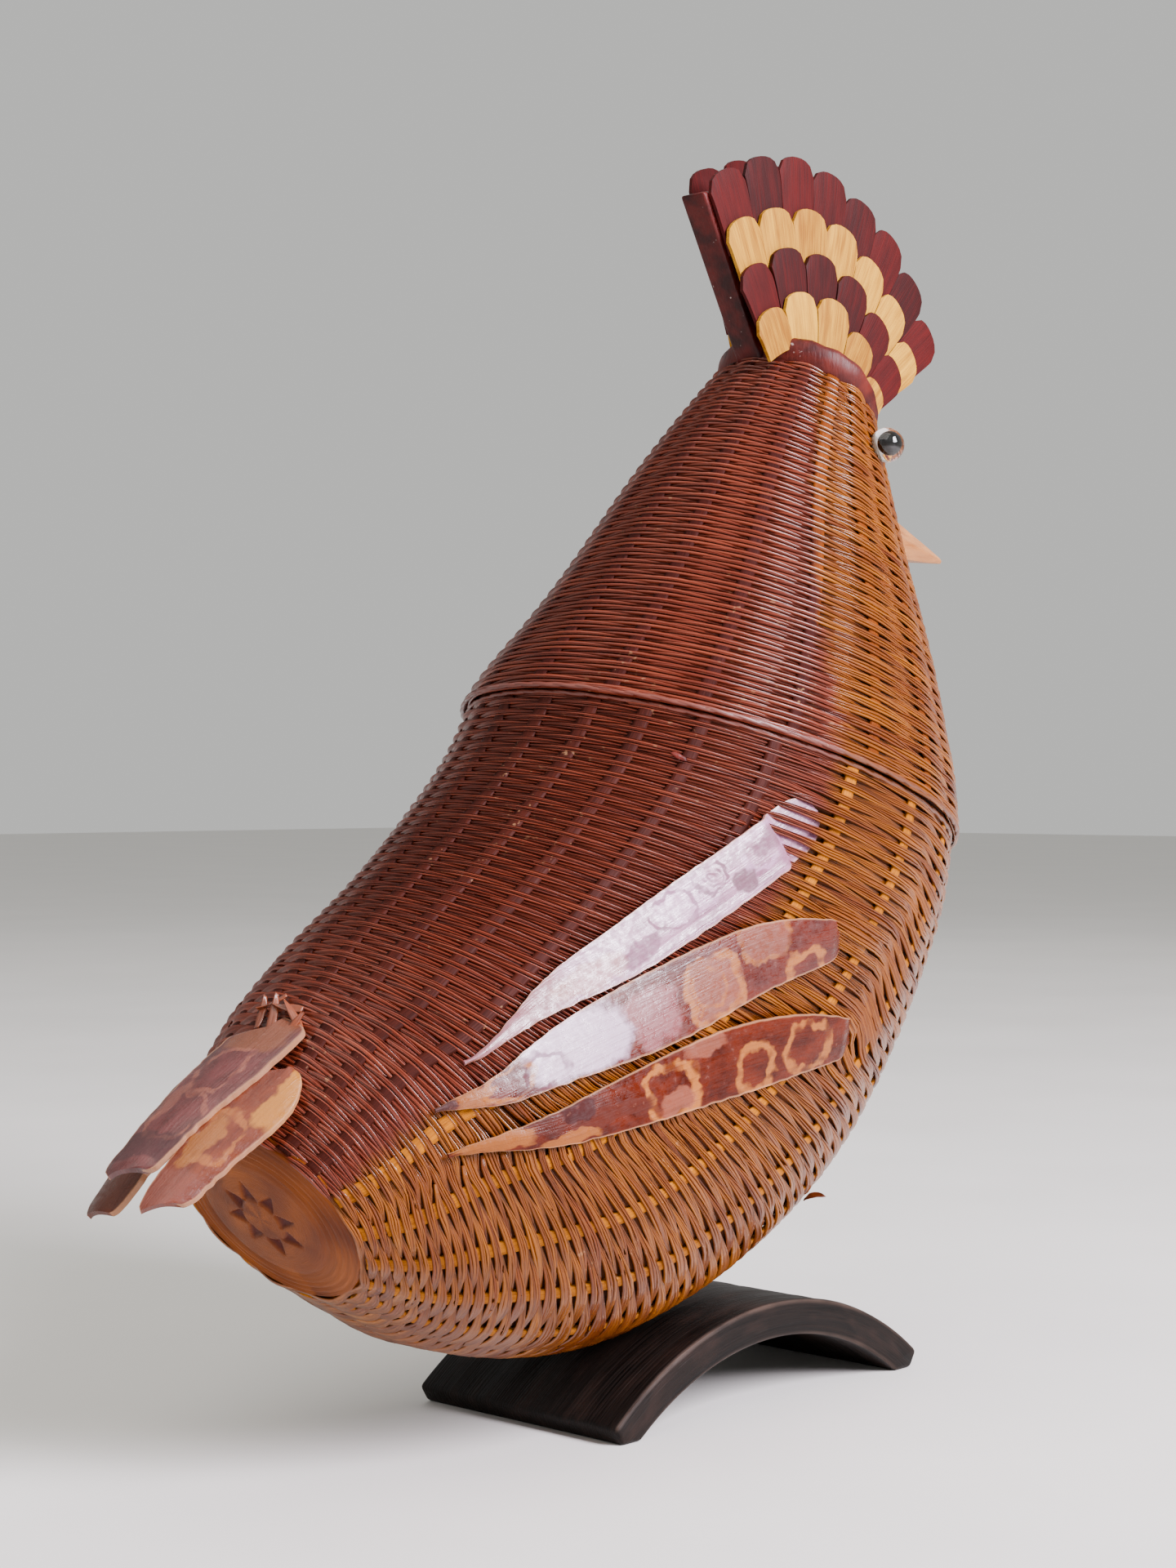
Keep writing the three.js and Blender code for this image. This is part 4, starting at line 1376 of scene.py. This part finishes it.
# the window's lavender glare, painted onto the upper strip as lilac patches
glareLilac = (0.42, 0.22, 0.36, 1)
darkSmudge = (0.03, 0.006, 0.006, 1)
darkBrown = (0.06, 0.008, 0.003, 1)
stripFinish = {
    "upper": {
        "gloss": 0.75,
        # the mauve ground is lightened towards lilac: painted reflection of the window's glare over the strip's
        # own dark maroon-brown
        "ground": ((0.20, 0.075, 0.13, 1), (0.34, 0.16, 0.25, 1)),
        "marks": (
            (9, 0, 12, 4, 1, (0.17, 0.04, 0.035, 1), 0.75),
            (24, -0.5, 6.5, 2.2, 1, pinkTan, 0.55),
            (34, -1.4, 3.4, 1.6, 1, mauve, 0.5),
            (45, 1.2, 5.2, 2.6, 1, glareLilac, 0.5),
            (42, 0.8, 3.8, 2.4, 0.1, mauve, 0.4),
            (55.5, -1.6, 2.2, 1.7, 1, mauve, 0.85),
            (50.5, 1.7, 2.8, 1.9, 0.14, mauve, 0.7),
            (50.7, 1.7, 1.6, 1.1, 0.2, mauve, 0.7),
            (50.8, 1.7, 0.8, 0.5, 0.4, mauve, 0.6),
            (61, 1.0, 4.2, 2.8, 0.16, glareLilac, 0.75),
            (62, 1.2, 3.0, 1.6, 1, mauve, 0.5),
        ),
    },
    "middle": {
        "gloss": 0.45,
        "ground": ((0.05, 0.003, 0.001, 1), (0.09, 0.008, 0.002, 1)),
        "marks": (
            (61.5, 2.6, 4.4, 3.0, 1, pinkTan, 0.4),
            (61.5, 2.6, 4.6, 3.2, 0.13, tan, 0.5),
            (69, -3.6, 3.6, 2.8, 0.24, tan, 0.8),
            (50, -0.8, 5.4, 4.4, 1, pinkTan, 0.5),
            (50, -0.8, 5.2, 4.2, 0.13, tan, 0.7),
            (49, -0.6, 3.0, 2.6, 0.16, tan, 0.5),
            (38, -0.6, 4.6, 4.0, 1, (0.22, 0.07, 0.075, 1), 0.75),
            # a pale lilac patch: painted reflection of the window's glare
            (24, 0.4, 9, 4.4, 1, (0.52, 0.38, 0.5, 1), 0.8),
            (17, -0.8, 3.4, 2.4, 0.16, mauve, 0.5),
            (11.5, 0.2, 3.4, 2.0, 0.2, tan, 0.75),
            (6, 0.2, 2.8, 1.6, 1, tan, 0.6),
            (0.6, 0, 2.2, 2, 1, darkSmudge, 0.75),
        ),
    },
    "lower": {
        "gloss": 0.16,
        "ground": ((0.036, 0.003, 0.0005, 1), (0.085, 0.009, 0.0014, 1)),
        "marks": (
            (68, -0.4, 5.0, 3.2, 0.2, tan, 0.75),
            (55.5, -1.8, 3.8, 3.2, 0.24, tan, 0.8),
            (37.5, -0.8, 5.0, 3.6, 0.18, tan, 0.9),
            (38, -2.4, 3.8, 1.4, 1, pinkTan, 0.5),
            (46, 4.0, 4.0, 1.8, 1, pinkTan, 0.5),
            (26, -0.6, 7, 1.2, 1, darkBrown, 0.85),
            (20, 1.6, 3.0, 1.3, 1, darkSmudge, 0.85),
            (17.5, -2.2, 4.6, 1.0, 1, tan, 0.55),
            (6.5, 0.4, 5.5, 1.4, 1, tan, 0.6),
        ),
    },
    "tail_centre": {
        "gloss": 0.5,
        "ground": ((0.05, 0.009, 0.008, 1), (0.09, 0.018, 0.017, 1)),
        "marks": (
            (1.0, 0, 4.6, 4.6, 1, (0.14, 0.04, 0.013, 1), 0.7),
            (10, 0.6, 4.4, 3.2, 0.12, pinkTan, 0.4),
            (19, -0.4, 3.8, 3.2, 0.12, pinkTan, 0.35),
            (16.5, 2.6, 3.4, 1.2, 1, pinkTan, 0.3),
            (24.5, 0, 2.6, 5, 1, darkSmudge, 0.7),
        ),
    },
    "tail_right": {
        "gloss": 0.4,
        "ground": ((0.075, 0.009, 0.002, 1), (0.12, 0.02, 0.005, 1)),
        "marks": (
            (3.5, -3.2, 6.4, 2.0, 1, (0.32, 0.12, 0.013, 1), 0.85),
            (14, 0.4, 4.2, 3.0, 0.14, tan, 0.5),
            (15, 1.4, 4.4, 1.6, 1, (0.24, 0.08, 0.014, 1), 0.7),
            (24, 0, 4, 4, 1, (0.13, 0.035, 0.025, 1), 0.5),
        ),
    },
    "tail_left": {
        "gloss": 0.15,
        "ground": ((0.06, 0.014, 0.008, 1), (0.11, 0.03, 0.016, 1)),
        "marks": (
            (25, 0, 4, 4, 1, (0.07, 0.024, 0.016, 1), 0.8),
            (12, 0, 3.4, 2.6, 0.16, tan, 0.5),
        ),
    },
}


def makeStripMaterial(name):
    finish = stripFinish[name]
    material, shader, w = newMaterial("bamboo strip " + name, Specular_IOR_Level=finish["gloss"])
    place = w.attribute("place", "Vector")
    parts = w.node("SeparateXYZ", {0: place})
    cloud = w.noise(w.scaled(place, (0.16, 0.35, 0)), 1.0, 4.0, 0.6)
    grain = w.noise(w.scaled(place, (0.07, 3.2, 0)), 1.0, 3.0, 0.6)
    mottle = w.noise(w.scaled(place, (0.7, 0.9, 0)), 1.0, 4.0, 0.65)
    colour = w.mix(w.ramp(cloud, 0.36, 0.62), *finish["ground"])
    dull = w.ramp(mottle, 0.36, 0.66, 0.0, 0.45)
    for along, across, length, width, line, tint, strength in finish["marks"]:
        tree = filledMark if line == 1 else outlineMark
        mark = w.group(tree, Place=place, Along=along, Across=across, Length=length, Width=width, Line=line)
        colour = w.mix(w.product(mark["Mask"], strength), colour, tint)
        if tint in (mauve, darkSmudge, darkBrown):
            dull = w.math("ADD", dull, w.product(mark["Mask"], 0.35))
    colour = w.mix(w.product(w.ramp(grain, 0.5, 0.75), 0.5), colour, (0.42, 0.3, 0.26, 1), "MULTIPLY")
    colour = w.mix(w.product(w.ramp(mottle, 0.62, 0.8), 0.25), colour, (0.4, 0.2, 0.15, 1))
    edge = w.product(w.ramp(w.math("ABSOLUTE", parts[2]), 0.93, 0.99), 0.6)
    colour = w.mix(edge, colour, (0.42, 0.2, 0.1, 1))
    w.join(colour, shader.inputs["Base Color"])
    w.join(w.math("ADD", dull, 0.13, True), shader.inputs["Roughness"])
    w.join(w.bump(w.weighted(grain, 0.5, mottle, 0.7), 0.3, 0.0005), shader.inputs["Normal"])
    return material


wingMaterials = {name: makeStripMaterial(name) for name in ("upper", "middle", "lower")}
tailMaterials = {name: makeStripMaterial(name) for name in ("tail_centre", "tail_right", "tail_left")}

leafFinish = {
    "red": ((0.02, 0.0005, 0.0005, 1), (0.058, 0.0015, 0.0013, 1), 0.55),
    "straw": ((0.22, 0.08, 0.003, 1), (0.5, 0.25, 0.018, 1), 0.55),
}


def makeLeafMaterial(name):
    dark, pale, roughness = leafFinish[name]
    material, shader, w = newMaterial("crest leaf " + name, Specular_IOR_Level=0.15)
    along = w.attribute("strand", "Vector")
    tone = w.attribute("tone")
    grain = w.noise(w.scaled(along, (0.09, 4.5, 1)), 1.0, 3.0, 0.6)
    broad = w.noise(w.scaled(along, (0.12, 0.7, 1)), 1.0, 2.0)
    both = w.weighted(grain, 0.55, broad, 0.45)
    share = w.math("ADD", w.ramp(both, 0.38, 0.64, 0.0, 0.85), w.ramp(tone, 0, 1, -0.3, 0.35), True)
    w.finish(shader, w.mix(share, dark, pale), grain, (0.3, 0.7, roughness, roughness + 0.2), (0.35, 0.0003))
    return material


leafMaterials = {name: makeLeafMaterial(name) for name in leafFinish}


def makeLacquerMaterial(name, dark, pale, roughness, flecks):
    material, shader, w = newMaterial(name, Specular_IOR_Level=0.2)
    spot = w.attribute("strand", "Vector")
    cloud = w.noise(w.scaled(spot, (0.3, 0.3, 0.3)), 1.0, 3.0)
    grain = w.noise(w.scaled(spot, (2.0, 2.0, 0.4)), 1.0, 3.0)
    fleck = w.group(speckGroup, Place=w.objectSpot((1, 1, 1)), Amount=flecks)
    colour = w.mix(w.ramp(cloud, 0.35, 0.65), dark, pale)
    colour = w.mix(fleck["Mask"], colour, (0.62, 0.5, 0.46, 1))
    w.finish(shader, colour, grain, (0.3, 0.7, roughness, roughness + 0.15), (0.3, 0.0003))
    return material


capMaterial = makeLacquerMaterial("cap lacquer", (0.03, 0.003, 0.003, 1), (0.09, 0.009, 0.005, 1), 0.4, 0.3)
coreMaterial = makeLacquerMaterial(
    "wedge lacquer", (0.02, 0.002, 0.002, 1), (0.07, 0.005, 0.004, 1), 0.35, 0.9)


def makeDiscMaterial():
    material, shader, w = newMaterial("rump disc cane", Specular_IOR_Level=0.12)
    along = w.attribute("strand", "Vector")
    tone = w.attribute("tone")
    ground = w.mix(w.ramp(tone, 0.1, 0.6), (0.1, 0.018, 0.0002, 1), (0.23, 0.055, 0.0008, 1))
    streaked = w.group(fibreGroup, Along=along, Colour=ground, Depth=0.5)
    # painted shade in the star's gaps
    colour = w.mix(w.attribute("dark"), streaked["Colour"], (0.05, 0.006, 0.004, 1))
    w.finish(shader, colour, streaked["Height"], (0.3, 0.75, 0.28, 0.45), (0.3, 0.0002))
    return material


discMaterial = makeDiscMaterial()
glassMaterial = newMaterial(
    "clear glass", Base_Color=(1, 1, 1, 1), Roughness=0.02, IOR=1.5, Transmission_Weight=1.0)[0]
beadMaterial = makePlainMaterial(
    "black bead", (0.002, 0.002, 0.002, 1), (0.004, 0.004, 0.004, 1), 0.1, (900, 900, 900), 0.00002,
    Specular_IOR_Level=0.2)
cupMaterial = makePlainMaterial(
    "eye cup", (0.36, 0.30, 0.22, 1), (0.55, 0.5, 0.42, 1), 0.4, (700, 700, 700), 0.00005)
beakMaterial = makePlainMaterial(
    "varnished beak wood", (0.26, 0.08, 0.013, 1), (0.42, 0.165, 0.04, 1), 0.38, (60, 500, 500), 0.0002,
    Coat_Weight=0.1, Coat_Roughness=0.2)


def makeStandMaterial():
    material, shader, w = newMaterial("black bamboo", Specular_IOR_Level=0.12)
    along = w.attribute("strand", "Vector")
    grain = w.noise(w.scaled(along, (0.05, 2.6, 1.2)), 1.0, 4.0, 0.6)
    cloud = w.noise(w.scaled(along, (0.12, 0.3, 0.3)), 1.0, 3.0)
    black = w.mix(w.ramp(grain, 0.35, 0.7), (0.0025, 0.0016, 0.0012, 1), (0.01, 0.006, 0.0045, 1))
    black = w.mix(w.product(w.ramp(cloud, 0.5, 0.72), 0.5), black, (0.021, 0.011, 0.008, 1))
    rub = w.product(w.attribute("worn"), w.ramp(cloud, 0.3, 0.6, 0.25, 1.0))
    colour = w.mix(rub, black, (0.065, 0.042, 0.032, 1))
    w.finish(shader, colour, grain, (0.3, 0.7, 0.42, 0.62), (0.55, 0.0005))
    return material


standMaterial = makeStandMaterial()

# Wear: a torn flake by the tail, a dark knot, and the cut end of a weft that sticks out
wear = {
    # place along the spine, degrees from the back, degrees the sliver points round, length, width
    "slivers": (
        (0.98, -3, 20, 7.5, 1.5), (1.05, -10, 60, 6.2, 1.2), (1.12, -6, 100, 5.0, 1.4),
        (0.92, -12, -20, 5.6, 1.0), (1.15, 1, 140, 4.4, 0.9), (1.02, 3, 10, 5.0, 1.1),
    ),
    "weftEnd": (2.81, -146, 3.6, 1.3),
    "knot": (4.28, -42, 2.6, 0.9),
}


def sliver(bm, layers, at, degrees, pointing, length, width, rise, shade, red):
    strand, tone, stain, down = layers
    turn = math.radians(degrees)
    normal = formNormal(at, turn)
    forward = (onForm(at + 0.02, turn) - onForm(at - 0.02, turn)).normalized()
    angle = math.radians(pointing)
    ahead = (forward * math.cos(angle) + normal.cross(forward) * math.sin(angle)).normalized()
    across = normal.cross(ahead)
    made = bmesh.ops.create_grid(bm, x_segments=4, y_segments=16, size=0.5)["verts"]
    for vert in made:
        w = vert.co.x * 2
        share = vert.co.y + 0.5
        half = width / 2 * (1 - share ** 3) * (0.6 + 0.4 * math.sin(math.pi * min(1, share * 3) / 2))
        twist = w * 0.3 * share
        spot = onForm(at, turn) + ahead * (share - 0.5) * length * mm + across * w * half * mm
        height = 0.3 + rise * share ** 2 + twist + 0.1 * noise.noise(Vector((share * 5, w, at)))
        vert.co = spot + normal * height * mm
        vert[strand] = (share * length + at * 50, w * half, at)
        vert[tone] = shade
        vert[stain] = red
        vert[down] = normal * -0.22 * mm
    return made


def makeWear():
    bm = bmesh.new()
    layers = newLayers(bm, "strand", "tone", "stain", "down")
    for at, degrees, pointing, length, width in wear["slivers"]:
        sliver(bm, layers, at, degrees, pointing, length, width, 0.9, 1.0, 0.75)
    at, degrees, length, width = wear["weftEnd"]
    sliver(bm, layers, at, degrees, 80, length, width, 2.0, 0.3, 0.4)
    thicken(bm, layers[3])
    makePiece("torn_fibres", bm, rimMaterial, "woven_rattan", "basket_body")
    at, degrees, length, width = wear["knot"]
    turn = math.radians(degrees)
    normal = formNormal(at, turn)
    forward = (onForm(at + 0.02, turn) - onForm(at - 0.02, turn)).normalized()
    place = Matrix((forward, normal.cross(forward), normal)).transposed().to_4x4()
    place.translation = onForm(at, turn) + normal * -0.1 * mm
    bm = bmesh.new()
    bmesh.ops.create_uvsphere(bm, u_segments=24, v_segments=12, radius=1)
    strand = bm.verts.layers.float_vector.new("strand")
    for vert in bm.verts:
        rough = 1 + 0.25 * noise.noise(vert.co * 2)
        vert.co = place @ (Vector((vert.co.x * width, vert.co.y * length, vert.co.z * 0.45)) * rough / 2 * mm)
        vert[strand] = vert.co / mm
    makePiece("dark_knot", bm, capMaterial, "red_lacquer", "basket_body")


makeWear()
makeBinding("body_rim_binding", birdForm["seam"] - 0.01, -0.55, "basket_body")
makeBinding("lid_rim_binding", lidRim + 0.02, birdForm["lidOverhang"] - 0.6, "head_lid")
makeRumpDisc()
makeHeadCap()
for stripName in wingStrips:
    makeWingStrip(stripName, "left")
    makeWingStrip(stripName, "right")
for stripName in tailStrips:
    makeTailStrip(stripName)
print("the strips are on")
makeCrestCore()
for rowNumber in range(len(crest["rows"])):
    makeScaleRow(rowNumber, -1)
    makeScaleRow(rowNumber, 1)
makeEye(1)
makeEye(-1)
makeBeak()
makeStand()
print("crest, face and stand are in place")
